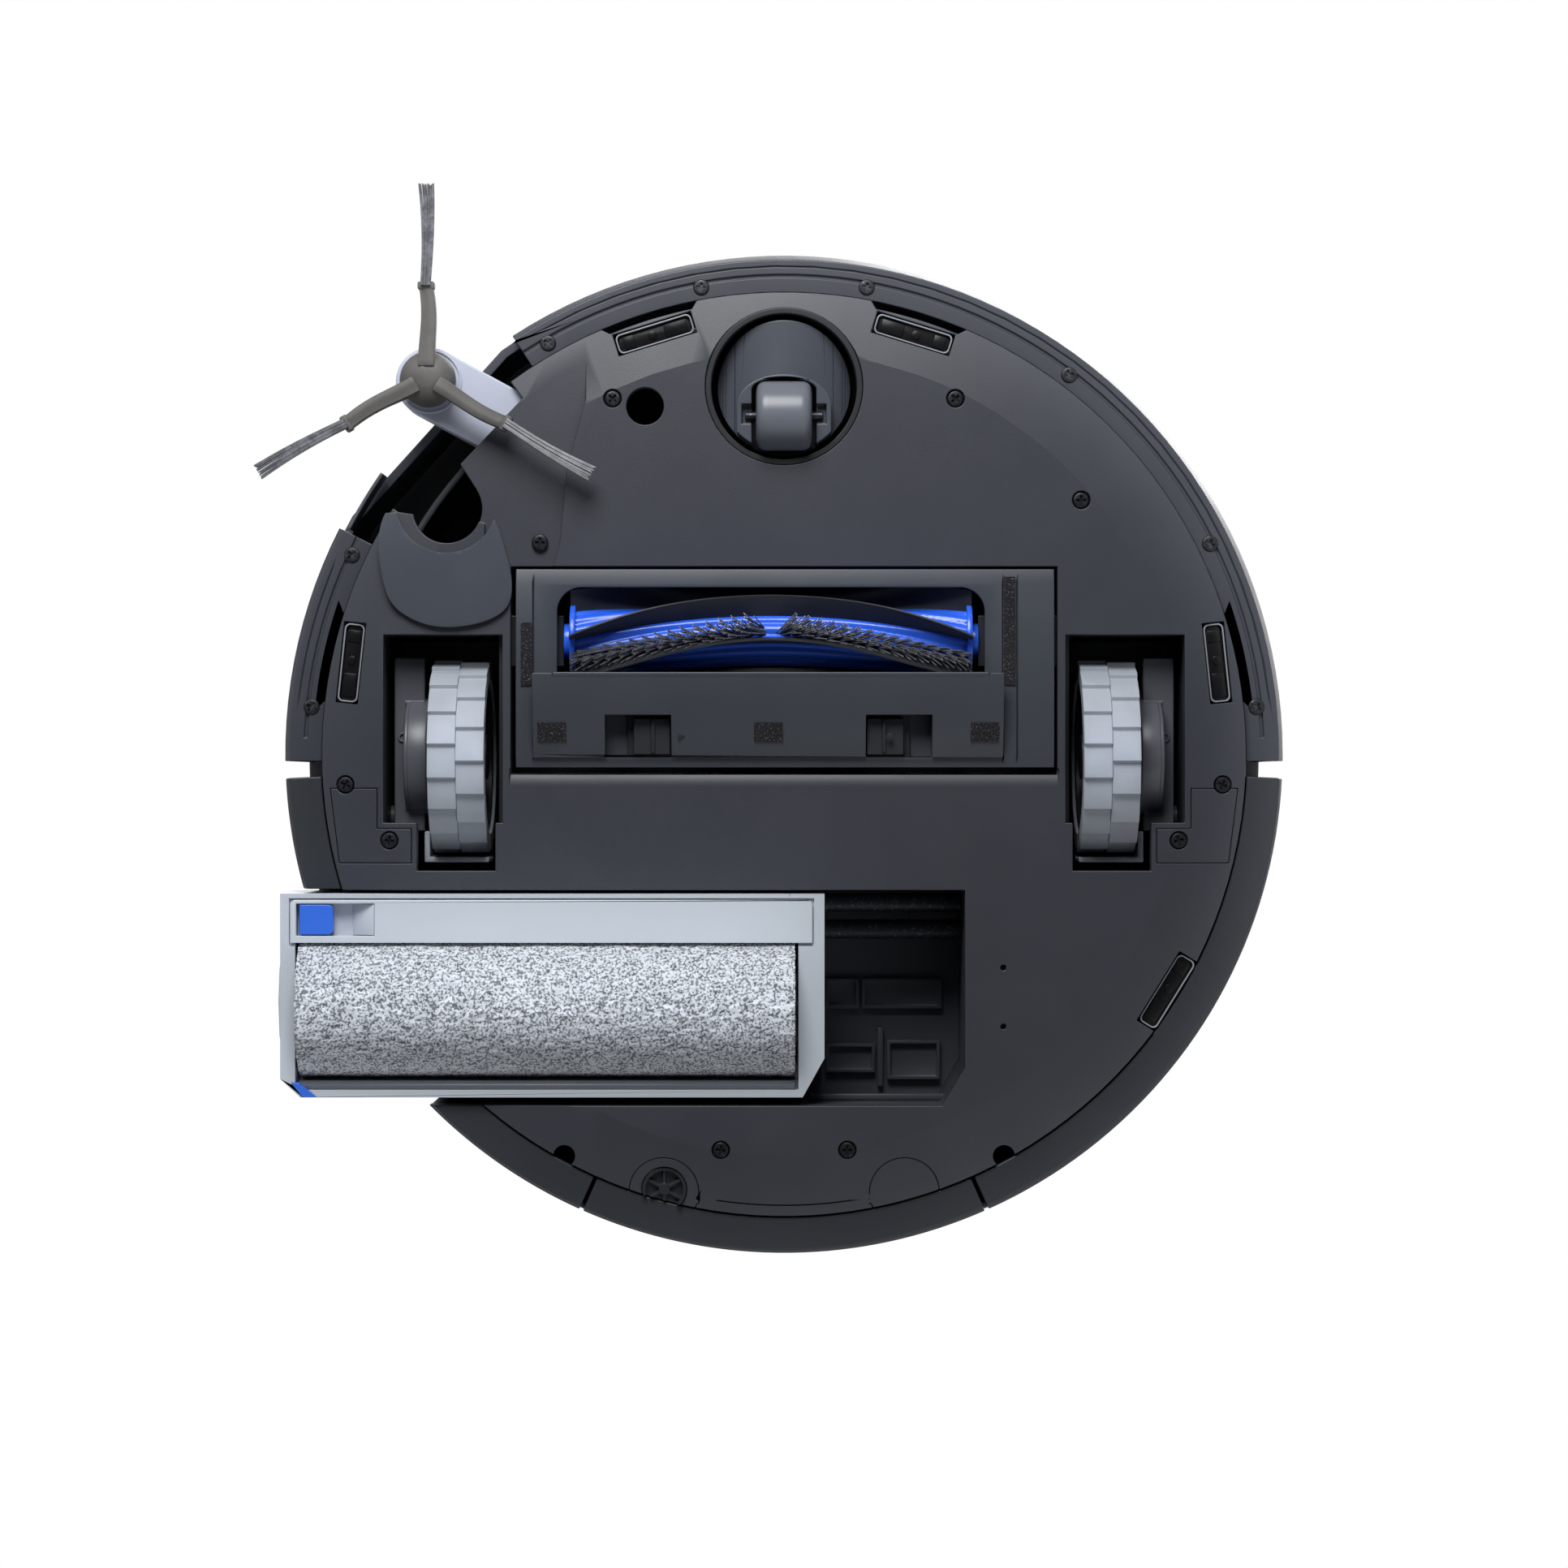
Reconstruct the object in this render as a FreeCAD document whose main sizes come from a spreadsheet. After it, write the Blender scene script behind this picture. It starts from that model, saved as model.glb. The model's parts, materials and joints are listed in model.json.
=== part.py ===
import FreeCAD, Part
import math
import os
import Sketcher
from FreeCAD import Placement, Rotation, Vector

# A round robot vacuum with a roller mop, modelled as it stands on the floor.
# X is across the body, -Y is the front (caster and bumper), +Z is up.
# The origin is on the body's axis at floor level.

os.makedirs("parts", exist_ok=True)
doc = FreeCAD.newDocument("robot_vacuum")
sheet = doc.addObject("Spreadsheet::Sheet", "sizes")

SIZES = {
    # whole body
    "body_radius": 175, "body_top": 98, "underside": 12, "plate_top": 18,
    "plate_flat_radius": 139.7, "plate_radius": 161, "plate_edge_bottom": 16,
    "front_wall_radius": 153, "rear_wall_radius": 174.5, "wall": 2.5, "step_front": 8.5,
    "front_wall_bottom": 24, "skirt_bottom": 17, "skirt_top": 26.8, "skirt_inner": 161.5,
    "deck_bottom": 90, "deck_top": 95, "strip_rear": -120, "fit_gap": 0.2,
    # bumper
    "bumper_bottom": 19.2, "bumper_top": 88.5, "bumper_inner": 161.3, "bumper_wall": 3.2,
    "bumper_flange": 2.8, "bumper_end": 2.4, "facet_reach": 170.5, "notch_top": 41,
    "groove_inner": 166.5, "groove_outer": 167.7, "groove_depth": 1,
    "window_bottom": 45, "window_top": 70, "window_span": 40,
    # brush bay and cover
    "bay_half": 95, "bay_front": -65.2, "bay_rear": 6.9, "tunnel_ceiling": 53, "tunnel_top": 56,
    "duct_half": 30, "duct_front": -12, "duct_rear": 4,
    "cover_left": -93.2, "cover_right": 93.9, "cover_front": -64.3, "cover_rear": 4.7,
    "cover_bottom": 11.3, "cover_thick": 2, "mouth_left": -78.8, "mouth_right": 69.7,
    "mouth_front": -57.9, "lip_front": -28.3, "mouth_rear": -19, "lip_bottom": 3.4,
    "brush_y": -39.5, "brush_z": 21.5, "brush_left": -76.2, "brush_right": 67.2,
    "brush_core_radius": 11.5, "brush_radius": 19.2, "blade_thick": 1.8, "tuft_thick": 3,
    "latch_travel": 8, "latch_front": -12.4, "latch_rear": 0.3, "pocket_front": -13.5,
    "pocket_rear": 0.8, "pocket_length": 22.9,
    # drive wheels
    "well_inner": 97.9, "well_outer": 139.3, "well_front": -41.5, "well_rear": 23.9,
    "well_tail_outer": 127.6, "well_tail_rear": 40.6, "tub_rear": 42.6, "tub_top": 74,
    "tub_wall": 2, "tyre_inner": 103.5, "tyre_outer": 123.2, "wheel_y": 0.8,
    "wheel_radius": 34, "rim_radius": 27, "pivot_y": 22, "pivot_z": 44, "pivot_radius": 4,
    "drive_outer": 137, "axle_radius": 3, "running_gap": 0.05,
    # caster
    "caster_y": -127.9, "cup_radius": 25.3, "cup_wall": 2.2, "cup_top": 44,
    "swivel_radius": 23.3, "swivel_top": 36, "caster_axle_y": -117.5,
    "caster_radius": 12, "caster_half": 9.65, "caster_pin_radius": 1.5,
    # side brush and its swing arm
    "arm_pivot_x": -90.6, "arm_pivot_y": -112.1, "hub_x": -123.7, "hub_y": -130.1,
    "arm_half": 11.9, "arm_bottom": 18.7, "arm_top": 36, "swing_room": 53,
    "hub_radius": 9.6, "hub_bottom": 6, "hub_top": 17.5, "finger_reach": 33.2,
    "bristle_reach": 66.6, "finger_width": 5.5, "bristle_width": 5, "bristle_bottom": 0.7,
    "bristle_top": 4.5, "bristle_knee": 45, "tip_top": 1.9, "finger_bottom": 3.5,
    "finger_top": 9, "motor_radius": 8.7, "spindle_radius": 1.5,
    "stow_x": -117.2, "stow_y": -85.4, "stow_radius": 12.1,
    # mop bay and mop module
    "mop_bay_front": 47.3, "mop_bay_rear": 122.3, "mop_bay_right": 62.9, "mop_bay_top": 62,
    "mop_corner_x": 54.9, "mop_corner_y": 108.8, "mop_left": -175.2, "mop_right": 14.1,
    "mop_front": 48.5, "mop_rear": 119.4, "mop_bottom": 13, "mop_top": 58,
    "roller_y": 88.4, "roller_radius": 24.5, "roller_left": -169.2, "roller_right": 4.2,
    "roller_core_radius": 18, "roller_room": 1.3, "rod_radius": 3.5, "rod_front_y": 52.5,
    "rod_pitch": 9.5, "rod_z": 44, "rod_start": 9, "rod_bore_depth": 52,
    # inside and top
    "bin_half": 75, "bin_front": -58, "bin_rear": 38, "bin_bottom": 57, "bin_top": 88.5,
    "bin_wall": 2.5, "bin_gap": 2, "lid_radius": 172, "power_radius": 9, "power_y": -142,
    # openings and screws in the base plate
    "screw_recess": 3.2, "screw_head": 3, "screw_shank": 1.4, "head_thick": 1.8,
    "large_hole_radius": 6.5, "large_hole_x": -48.3, "large_hole_y": -120.9,
    "rear_hole_radius": 3.8, "rear_hole_x": 76.6, "rear_hole_y": 140,
    "cliff_length": 28, "cliff_width": 7.5,
}

for row, (alias, number) in enumerate(SIZES.items(), start=1):
    sheet.set("A%d" % row, alias)
    sheet.set("B%d" % row, str(number))
    sheet.setAlias("B%d" % row, alias)
doc.recompute()


class Size:
    """A sheet value, or a sum of them: the number, and the expression that a feature is bound to."""

    def __init__(self, text, value):
        self.text = text
        self.value = value

    def join(self, sign, other, value, turned=False):
        pair = (text_of(other), self.text) if turned else (self.text, text_of(other))
        return Size("(%s %s %s)" % (pair[0], sign, pair[1]), value)

    def __add__(self, other):
        return self.join("+", other, self.value + value_of(other))

    def __radd__(self, other):
        return self.join("+", other, self.value + value_of(other), True)

    def __sub__(self, other):
        return self.join("-", other, self.value - value_of(other))

    def __rsub__(self, other):
        return self.join("-", other, value_of(other) - self.value, True)

    def __mul__(self, other):
        return self.join("*", other, self.value * value_of(other))

    def __rmul__(self, other):
        return self.join("*", other, self.value * value_of(other), True)

    def __truediv__(self, other):
        return self.join("/", other, self.value / value_of(other))

    def __neg__(self):
        return Size("(0 - %s)" % self.text, -self.value)


def value_of(size):
    return size.value if isinstance(size, Size) else float(size)


def text_of(size):
    return size.text if isinstance(size, Size) else repr(float(size))


class Sheet:
    """The sheet's values by name."""

    def __getattr__(self, alias):
        return Size("sizes." + alias, float(sheet.get(alias)))


d = Sheet()
THROUGH = 2.0       # how far a cutting tool runs past the face that it cuts
FULL_TURN = 360.0
HALF_TURN = 180.0
QUARTER_TURN = 90.0


def bind(feature, prop, size):
    """Set a feature's property from a plain number or from the sheet."""
    if isinstance(size, Size):
        feature.setExpression(prop, size.text)
    else:
        feature.setExpression(prop, repr(float(size)))


def place(feature, x, y, z, turn=Rotation()):
    feature.Placement = Placement(Vector(value_of(x), value_of(y), value_of(z)), turn)
    bind(feature, "Placement.Base.x", x)
    bind(feature, "Placement.Base.y", y)
    bind(feature, "Placement.Base.z", z)
    return feature


def box(x0, x1, y0, y1, z0, z1):
    feature = doc.addObject("Part::Box", "block")
    bind(feature, "Length", x1 - x0)
    bind(feature, "Width", y1 - y0)
    bind(feature, "Height", z1 - z0)
    return place(feature, x0, y0, z0)


def turned_box(x, y, z0, z1, start, reach, half_width, degrees):
    """A block that runs from start to reach along a direction, out from a point."""
    feature = doc.addObject("Part::Box", "block")
    bind(feature, "Length", reach - start)
    bind(feature, "Width", half_width * 2)
    bind(feature, "Height", z1 - z0)
    cosine = math.cos(math.radians(degrees))
    sine = math.sin(math.radians(degrees))
    corner_x = x + start * cosine + half_width * sine
    corner_y = y + start * sine - half_width * cosine
    return place(feature, corner_x, corner_y, z0, Rotation(Vector(0, 0, 1), degrees))


def disc(radius, z0, z1, x=0.0, y=0.0):
    feature = doc.addObject("Part::Cylinder", "disc")
    bind(feature, "Radius", radius)
    bind(feature, "Height", z1 - z0)
    return place(feature, x, y, z0)


def rod(radius, x0, x1, y, z):
    """A cylinder along X."""
    feature = doc.addObject("Part::Cylinder", "rod")
    bind(feature, "Radius", radius)
    bind(feature, "Height", x1 - x0)
    return place(feature, x0, y, z, Rotation(Vector(0, 1, 0), QUARTER_TURN))


def sector(inner, outer, z0, z1, start, span):
    """Part of a ring about the body's axis, from a start angle (from +X towards +Y)."""
    feature = doc.addObject("Part::Cylinder", "sector")
    bind(feature, "Radius", outer)
    bind(feature, "Height", z1 - z0)
    bind(feature, "Angle", span)
    place(feature, 0.0, 0.0, z0, Rotation(Vector(0, 0, 1), start))
    return cut(feature, disc(inner, z0 - THROUGH, z1 + THROUGH))


def cut(base, *tools):
    feature = doc.addObject("Part::Cut", "cut")
    feature.Base = base
    feature.Tool = tools[0] if len(tools) == 1 else fuse(*tools)
    return feature


def fuse(*shapes):
    feature = doc.addObject("Part::MultiFuse", "fuse")
    feature.Shapes = list(shapes)
    return feature


def common(first, second):
    feature = doc.addObject("Part::MultiCommon", "common")
    feature.Shapes = [first, second]
    return feature


def mirrored(source):
    """The same shape on the other side of the body's middle plane."""
    feature = doc.addObject("Part::Mirroring", "mirrored")
    feature.Source = source
    feature.Normal = Vector(1, 0, 0)
    feature.Base = Vector(0, 0, 0)
    return feature


def sketch_on(body, role, points):
    """A closed outline on one of the body's own planes, each corner bound to the sheet."""
    sketch = body.newObject("Sketcher::SketchObject", "outline")
    plane = [item for item in body.Origin.OriginFeatures if item.Role == role][0]
    sketch.AttachmentSupport = [(plane, "")]
    sketch.MapMode = "FlatFace"
    corners = [Vector(value_of(a), value_of(b), 0) for a, b in points]
    count = len(corners)
    for index in range(count):
        following = corners[(index + 1) % count]
        sketch.addGeometry(Part.LineSegment(corners[index], following), False)
    for index in range(count):
        sketch.addConstraint(Sketcher.Constraint("Coincident", index, 2, (index + 1) % count, 1))
    for index, (across, along) in enumerate(points):
        for kind, size in (("DistanceX", across), ("DistanceY", along)):
            held = Sketcher.Constraint(kind, -1, 1, index, 1, value_of(size))
            number = sketch.addConstraint(held)
            bind(sketch, "Constraints[%d]" % number, size)
    return sketch


def prism(points, z0, z1):
    """An outline on the floor plane, padded from one height to another."""
    body = doc.addObject("PartDesign::Body", "prism")
    sketch = sketch_on(body, "XY_Plane", points)
    bind(sketch, "AttachmentOffset.Base.z", z0)
    pad = body.newObject("PartDesign::Pad", "pad")
    pad.Profile = sketch
    bind(pad, "Length", z1 - z0)
    return body


def side_prism(points, x0, x1):
    """A (y, z) outline padded along X."""
    body = doc.addObject("PartDesign::Body", "side_prism")
    sketch = sketch_on(body, "YZ_Plane", points)
    bind(sketch, "AttachmentOffset.Base.z", x0)
    pad = body.newObject("PartDesign::Pad", "pad")
    pad.Profile = sketch
    bind(pad, "Length", x1 - x0)
    return body


def revolved(points, x, y, z, turn=Rotation()):
    """A (radius, height) outline turned about its own axis, then placed."""
    body = doc.addObject("PartDesign::Body", "revolved")
    sketch = sketch_on(body, "XZ_Plane", points)
    spin = body.newObject("PartDesign::Revolution", "spin")
    spin.Profile = sketch
    spin.ReferenceAxis = (sketch, ["V_Axis"])
    spin.Angle = FULL_TURN
    return place(body, x, y, z, turn)


NODES = []


def node(name, feature):
    feature.Label = name
    NODES.append(feature)
    return feature


ALONG_X = Rotation(Vector(0, 1, 0), QUARTER_TURN)


# ---------------------------------------------------------------- chassis: the base plate

def plate_bottom(x, y):
    """Height of the plate's underside, which is flat and then rises towards its rim."""
    reach = math.hypot(value_of(x), value_of(y)) - value_of(d.plate_flat_radius)
    rise = value_of(d.plate_edge_bottom - d.underside)
    run = value_of(d.plate_radius - d.plate_flat_radius)
    return value_of(d.underside) + rise * max(0.0, reach) / run


BASE_SCREWS = [(-59.6, -123.6), (59.6, -123.6), (-84.9, -73.6), (103.3, -88.3),
               (-152.7, 10.6), (152.7, 10.6), (-137.2, 30.0), (137.2, 30.0),
               (-22, 137.6), (22, 137.6)]
CLIFF_SENSORS = [(-45, -146.4, -17.1), (45, -146.4, 17.1), (-150.8, -31.8, -84.0),
                 (150.8, -31.8, 84.0), (133.55, 82.7, -58.2)]


def plate_blank():
    return revolved([(0, d.underside), (d.plate_flat_radius, d.underside),
                     (d.plate_radius, d.plate_edge_bottom), (d.plate_radius, d.plate_top),
                     (0, d.plate_top)], 0, 0, 0)


def cliff_block(sensor, z0, z1, grow):
    x, y, degrees = sensor
    half_length = d.cliff_length / 2 + grow
    half_width = d.cliff_width / 2 + grow
    return turned_box(x, y, z0, z1, -half_length, half_length, half_width, degrees)


def wheel_cover_zone(gap):
    """The panel outside a wheel well, up to the seam behind the wheel."""
    return prism([(141.6 + gap, 12 + gap), (158 - gap, 12 + gap), (154.8 - gap, 37.8 - gap),
                  (129.6 + gap, 37.8 - gap), (129.6 + gap, 26 + gap), (141.6 + gap, 26 + gap)],
                 d.underside - THROUGH, d.plate_top - 1.2)


def arch_zone(x, grow):
    """A round-topped door at the rear edge of the plate."""
    radius = 12.1 + grow
    bottom = d.underside - THROUGH
    top = d.plate_top + THROUGH
    return fuse(disc(radius, bottom, top, x, 152.6),
                box(x - radius, x + radius, 152.6, 156.6 + grow, bottom, top))


def mop_bay_outline(grow):
    return [(-180, d.mop_bay_front - grow), (d.mop_bay_right + grow, d.mop_bay_front - grow),
            (d.mop_bay_right + grow, d.mop_corner_y),
            (d.mop_corner_x + grow, d.mop_bay_rear + grow), (-180, d.mop_bay_rear + grow)]


def well_cuts():
    """Both parts of the L-shaped opening under a right-hand wheel."""
    bottom = d.underside - THROUGH
    top = d.plate_top + THROUGH
    return fuse(box(d.well_inner, d.well_outer, d.well_front, d.well_rear, bottom, top),
                box(d.well_inner + 2.4, d.well_tail_outer, d.well_rear - THROUGH,
                    d.well_tail_rear, bottom, top))


def wheel_tub():
    """The closed housing that a drive wheel sits in, with the bore that its arm turns in."""
    outside = box(d.well_inner - 0.4, d.well_outer + d.tub_wall, d.well_front - d.tub_wall,
                  d.tub_rear + d.tub_wall, d.plate_top, d.tub_top)
    inside = box(d.well_inner + 1.6, d.well_outer, d.well_front, d.tub_rear,
                 d.plate_top - THROUGH, d.tub_top - d.tub_wall)
    bore = rod(d.pivot_radius + d.running_gap, d.well_outer - THROUGH,
               d.well_outer + d.tub_wall + THROUGH, d.pivot_y, d.pivot_z)
    return cut(outside, inside, bore)


def base_plate():
    bottom = d.underside - THROUGH
    top = d.plate_top + THROUGH
    tools = [
        box(-d.bay_half, d.bay_half, d.bay_front, d.bay_rear, bottom, top),
        well_cuts(),
        mirrored(well_cuts()),
        disc(d.cup_radius + d.cup_wall, bottom, top, 0, d.caster_y),
        prism(mop_bay_outline(0), bottom, top),
        disc(d.stow_radius, bottom, top, d.stow_x, d.stow_y),
        prism([(-91, -124), (-112.7, -100.9), (-107, -92), (-105.1, -85.4), (-129.5, -83.6),
               (-134.5, -84.4), (-160, -104), (-112, -152)], bottom, top),
        # the shallow recess beside the side brush
        prism([(-69, -150), (-69, -123), (-75.6, -98), (-78, -73), (-80.7, -64), (-96, -64),
               (-96, -56), (-104, -62), (-104, -80), (-140, -96), (-140, -150)],
              bottom, d.underside + 2.5),
        disc(d.large_hole_radius, bottom, top, d.large_hole_x, d.large_hole_y),
        arch_zone(-41.9, d.fit_gap),
        arch_zone(41.9, d.fit_gap),
        wheel_cover_zone(-d.fit_gap),
        mirrored(wheel_cover_zone(-d.fit_gap)),
    ]
    for x in (-d.rear_hole_x, d.rear_hole_x):
        tools.append(disc(d.rear_hole_radius, bottom, top, x, d.rear_hole_y))
    for y in (74.2, 94.7):
        tools.append(disc(1.0, bottom, 15.0, 76.2, y))
    for x, y in BASE_SCREWS:
        seat = plate_bottom(x, y) + 2.4
        tools.append(disc(d.screw_recess, bottom, seat, x, y))
        tools.append(disc(d.screw_shank + 0.1, bottom, top, x, y))
    for sensor in CLIFF_SENSORS:
        tools.append(cliff_block(sensor, bottom, top, d.fit_gap))
    return cut(plate_blank(), *tools)


node("base_plate", base_plate())
node("wheel_tub_right", wheel_tub())
node("wheel_tub_left", mirrored(wheel_tub()))


def wheel_cover():
    zone = wheel_cover_zone(0)
    bottom = d.underside - THROUGH
    holes = []
    for x, y in BASE_SCREWS:
        if x > 130:
            holes.append(disc(d.screw_recess, bottom, plate_bottom(x, y) + 2.4, x, y))
            holes.append(disc(d.screw_shank + 0.1, bottom, d.plate_top + THROUGH, x, y))
    return cut(common(plate_blank(), zone), *holes)


node("wheel_cover_right", wheel_cover())
node("wheel_cover_left", mirrored(wheel_cover()))

PORT_X = -41.7
PORT_Y = 151.5
PORT_RADIUS = 7.7
node("rear_cover_left", cut(common(plate_blank(), arch_zone(-41.9, 0)),
                            disc(PORT_RADIUS + 0.2, 10, 20, PORT_X, PORT_Y)))
node("rear_cover_right", common(plate_blank(), arch_zone(41.9, 0)))


def port_grille():
    """A round port with six spokes, set back in the left rear door."""
    ring = cut(disc(PORT_RADIUS, 14.6, 18, PORT_X, PORT_Y),
               disc(PORT_RADIUS - 1.2, 14, 17, PORT_X, PORT_Y))
    hub = disc(2.0, 15, 17.5, PORT_X, PORT_Y)
    spokes = [turned_box(PORT_X, PORT_Y, 15.4, 17.5, -PORT_RADIUS + 0.6, PORT_RADIUS - 0.6, 0.5,
                         degrees) for degrees in (30, 90, 150)]
    return common(fuse(ring, hub, *spokes), disc(d.plate_radius, 14, 19))


node("rear_port_grille", port_grille())


def base_screws():
    screws = []
    for x, y in BASE_SCREWS:
        seat = plate_bottom(x, y) + 2.4
        head = disc(d.screw_head, seat - d.head_thick, seat, x, y)
        slots = [turned_box(x, y, seat - d.head_thick - 1, seat - 0.9, -1.6, 1.6, 0.35, degrees)
                 for degrees in (0, QUARTER_TURN)]
        screws.append(fuse(cut(head, *slots), disc(d.screw_shank, seat - 0.1, 24, x, y)))
    return fuse(*screws)


node("base_screws", base_screws())
node("cliff_windows", fuse(*[cliff_block(sensor, plate_bottom(*sensor[:2]) + 0.9,
                                         plate_bottom(*sensor[:2]) + 2.4, 0)
                             for sensor in CLIFF_SENSORS]))
node("cliff_holders", fuse(*[cliff_block(sensor, plate_bottom(*sensor[:2]) + 2.4, 18.9, 0)
                             for sensor in CLIFF_SENSORS]))


# ---------------------------------------------------------------- chassis: shell and skirts

def shell_outline(z0, z1, grow):
    """The body above the plate: a smaller front half behind the bumper, and a full rear half."""
    rear = common(disc(d.rear_wall_radius + grow, z0, z1),
                  box(-180, 180, d.step_front - grow, 180, z0, z1))
    return fuse(disc(d.front_wall_radius + grow, z0, z1), rear)


def upper_shell():
    walls = cut(shell_outline(d.front_wall_bottom, d.deck_bottom + 1, 0),
                shell_outline(d.front_wall_bottom - THROUGH, d.deck_bottom + THROUGH, -d.wall))
    rear_foot = box(-180, 180, d.step_front - THROUGH, 180, d.front_wall_bottom - THROUGH,
                    d.skirt_top)
    arm_room = disc(d.swing_room, d.front_wall_bottom - THROUGH, 38, d.arm_pivot_x, d.arm_pivot_y)
    motor_room = disc(13.4, 37, 61, d.arm_pivot_x, d.arm_pivot_y)
    cup_room = disc(d.cup_radius + d.cup_wall + 0.4, d.front_wall_bottom - THROUGH,
                    d.cup_top + 1, 0, d.caster_y)
    module_room = box(-180, -60, d.mop_bay_front - 0.3, d.mop_bay_rear + 0.3,
                      d.skirt_top - THROUGH, d.mop_bay_top + 0.3)
    deck = disc(d.rear_wall_radius, d.deck_bottom, d.deck_top)
    strip = common(disc(d.rear_wall_radius - 1.5, d.deck_top, d.body_top - 0.4),
                   box(-180, 180, -180, d.strip_rear, d.deck_top, d.body_top))
    bin_hole = box(-d.bin_half - d.bin_gap, d.bin_half + d.bin_gap, d.bin_front - d.bin_gap,
                   d.bin_rear + d.bin_gap, d.deck_bottom - THROUGH, d.deck_top + THROUGH)
    button_hole = disc(d.power_radius + 0.3, d.deck_bottom + 1.5, d.body_top, 0, d.power_y)
    open_walls = cut(walls, rear_foot, arm_room, motor_room, cup_room, module_room)
    return fuse(open_walls, cut(fuse(deck, strip), bin_hole, button_hole))


node("upper_shell", upper_shell())


def skirt(start, span):
    """A length of the lower rim, with its outer bottom edge cut back."""
    ring = sector(d.skirt_inner, d.rear_wall_radius, d.skirt_bottom, d.skirt_top, start, span)
    bevel = revolved([(d.rear_wall_radius - 2.5, d.skirt_bottom - THROUGH),
                      (d.rear_wall_radius + 4, d.skirt_bottom - THROUGH),
                      (d.rear_wall_radius + 4, d.skirt_bottom + 4.5),
                      (d.rear_wall_radius + 0.1, d.skirt_bottom + 4.5)], 0, 0, 0)
    return cut(ring, bevel)


# Angles run from +X towards +Y, the rear.
REAR_GAP = 66.0
RIGHT_START = 2.75
SEAM = 0.45
node("skirt_right", skirt(RIGHT_START, REAR_GAP - SEAM / 2 - RIGHT_START))
node("skirt_rear", skirt(REAR_GAP + SEAM / 2, HALF_TURN - 2 * REAR_GAP - SEAM))
node("skirt_rear_left", cut(skirt(HALF_TURN - REAR_GAP + SEAM / 2, 25),
                            box(-180, 0, 0, d.mop_bay_rear + 0.2, 0, 60)))
node("skirt_left", cut(skirt(160, HALF_TURN - 160 - RIGHT_START),
                       box(-180, 0, d.mop_bay_front - 0.3, 180, 0, 60)))


def caster_cup():
    outside = disc(d.cup_radius + d.cup_wall - 0.1, d.underside + 1, d.cup_top, 0, d.caster_y)
    inside = disc(d.cup_radius, d.underside - 1, d.cup_top - 4, 0, d.caster_y)
    stem_bore = disc(5 + d.running_gap, d.cup_top - 5, d.cup_top - 1, 0, d.caster_y)
    return cut(outside, inside, stem_bore)


node("caster_cup", caster_cup())


def suction_tunnel():
    outside = box(-d.bay_half - 2.2, d.bay_half + 2.2, d.bay_front - d.wall, d.bay_rear + d.wall,
                  d.plate_top, d.tunnel_top)
    inside = box(-d.bay_half, d.bay_half, d.bay_front, d.bay_rear, d.plate_top - 1,
                 d.tunnel_ceiling)
    duct = box(-d.duct_half, d.duct_half, d.duct_front, d.duct_rear, d.tunnel_ceiling - 1,
               d.tunnel_top + 1)
    blocks = [box(x0, x1, d.brush_y - 9, d.brush_y + 9, d.plate_top, d.tunnel_ceiling)
              for x0, x1 in ((-d.bay_half, d.brush_left - 0.6), (d.brush_right + 0.6, d.bay_half))]
    journals = [rod(3 + d.running_gap, x0, x1, d.brush_y, d.brush_z)
                for x0, x1 in ((d.brush_left - 8, d.brush_left), (d.brush_right, 75.2))]
    return cut(fuse(cut(outside, inside, duct), *blocks), *journals)


node("suction_tunnel", suction_tunnel())


def mop_bay_liner():
    outside = prism(mop_bay_outline(2.5), d.plate_top, d.mop_bay_top + d.wall)
    inside = prism(mop_bay_outline(0), d.plate_top - 1, d.mop_bay_top)
    within = disc(d.skirt_inner - 0.3, d.plate_top - 1, d.mop_bay_top + 5)
    return common(cut(outside, inside), within)


node("mop_bay_liner", mop_bay_liner())
ROD_YS = [d.rod_front_y, d.rod_front_y + d.rod_pitch]
node("mop_guide_rods", fuse(*[rod(d.rod_radius, d.rod_start, d.mop_bay_right, y, d.rod_z)
                              for y in ROD_YS]))

# ---------------------------------------------------------------- chassis: what it holds inside

node("battery_pack", box(72, 116, 50, 110, d.plate_top, 56))
node("main_board", fuse(box(-60, 60, -100, -72, 60, 61.6), box(-20, 10, -96, -78, 61.6, 64),
                        box(25, 50, -94, -80, 61.6, 68)))
node("blower", fuse(disc(26, 58, 86, 98, 80), disc(14, 56.5, 58, 98, 80)))
node("water_tank", box(-98, 55, 50, 118, 66.5, 88))


def arm_motor():
    """The geared motor above the side brush's swing arm; the arm's shaft turns in its bore."""
    bore = disc(d.axle_radius + d.running_gap, 37, 44, d.arm_pivot_x, d.arm_pivot_y)
    return cut(disc(13, 38, 60, d.arm_pivot_x, d.arm_pivot_y), bore)


node("arm_motor", arm_motor())


# ---------------------------------------------------------------- bumper

# The flat facet above the side brush faces this way, and its opening spans these angles.
FACET_ANGLE = 222.0
NOTCH_START = 207.0
NOTCH_SPAN = 30.0


def bumper_solid(grow, z0, z1):
    """The front half of the rim, with one flat facet over the side brush."""
    round_part = common(disc(d.body_radius + grow, z0, z1),
                        box(-180, 180, -180, d.bumper_end, z0, z1))
    beyond = turned_box(0.0, 0.0, z0 - 1, z1 + 1, d.facet_reach + grow, d.body_radius + 20, 60.0,
                        FACET_ANGLE)
    return cut(round_part, beyond)


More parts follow.
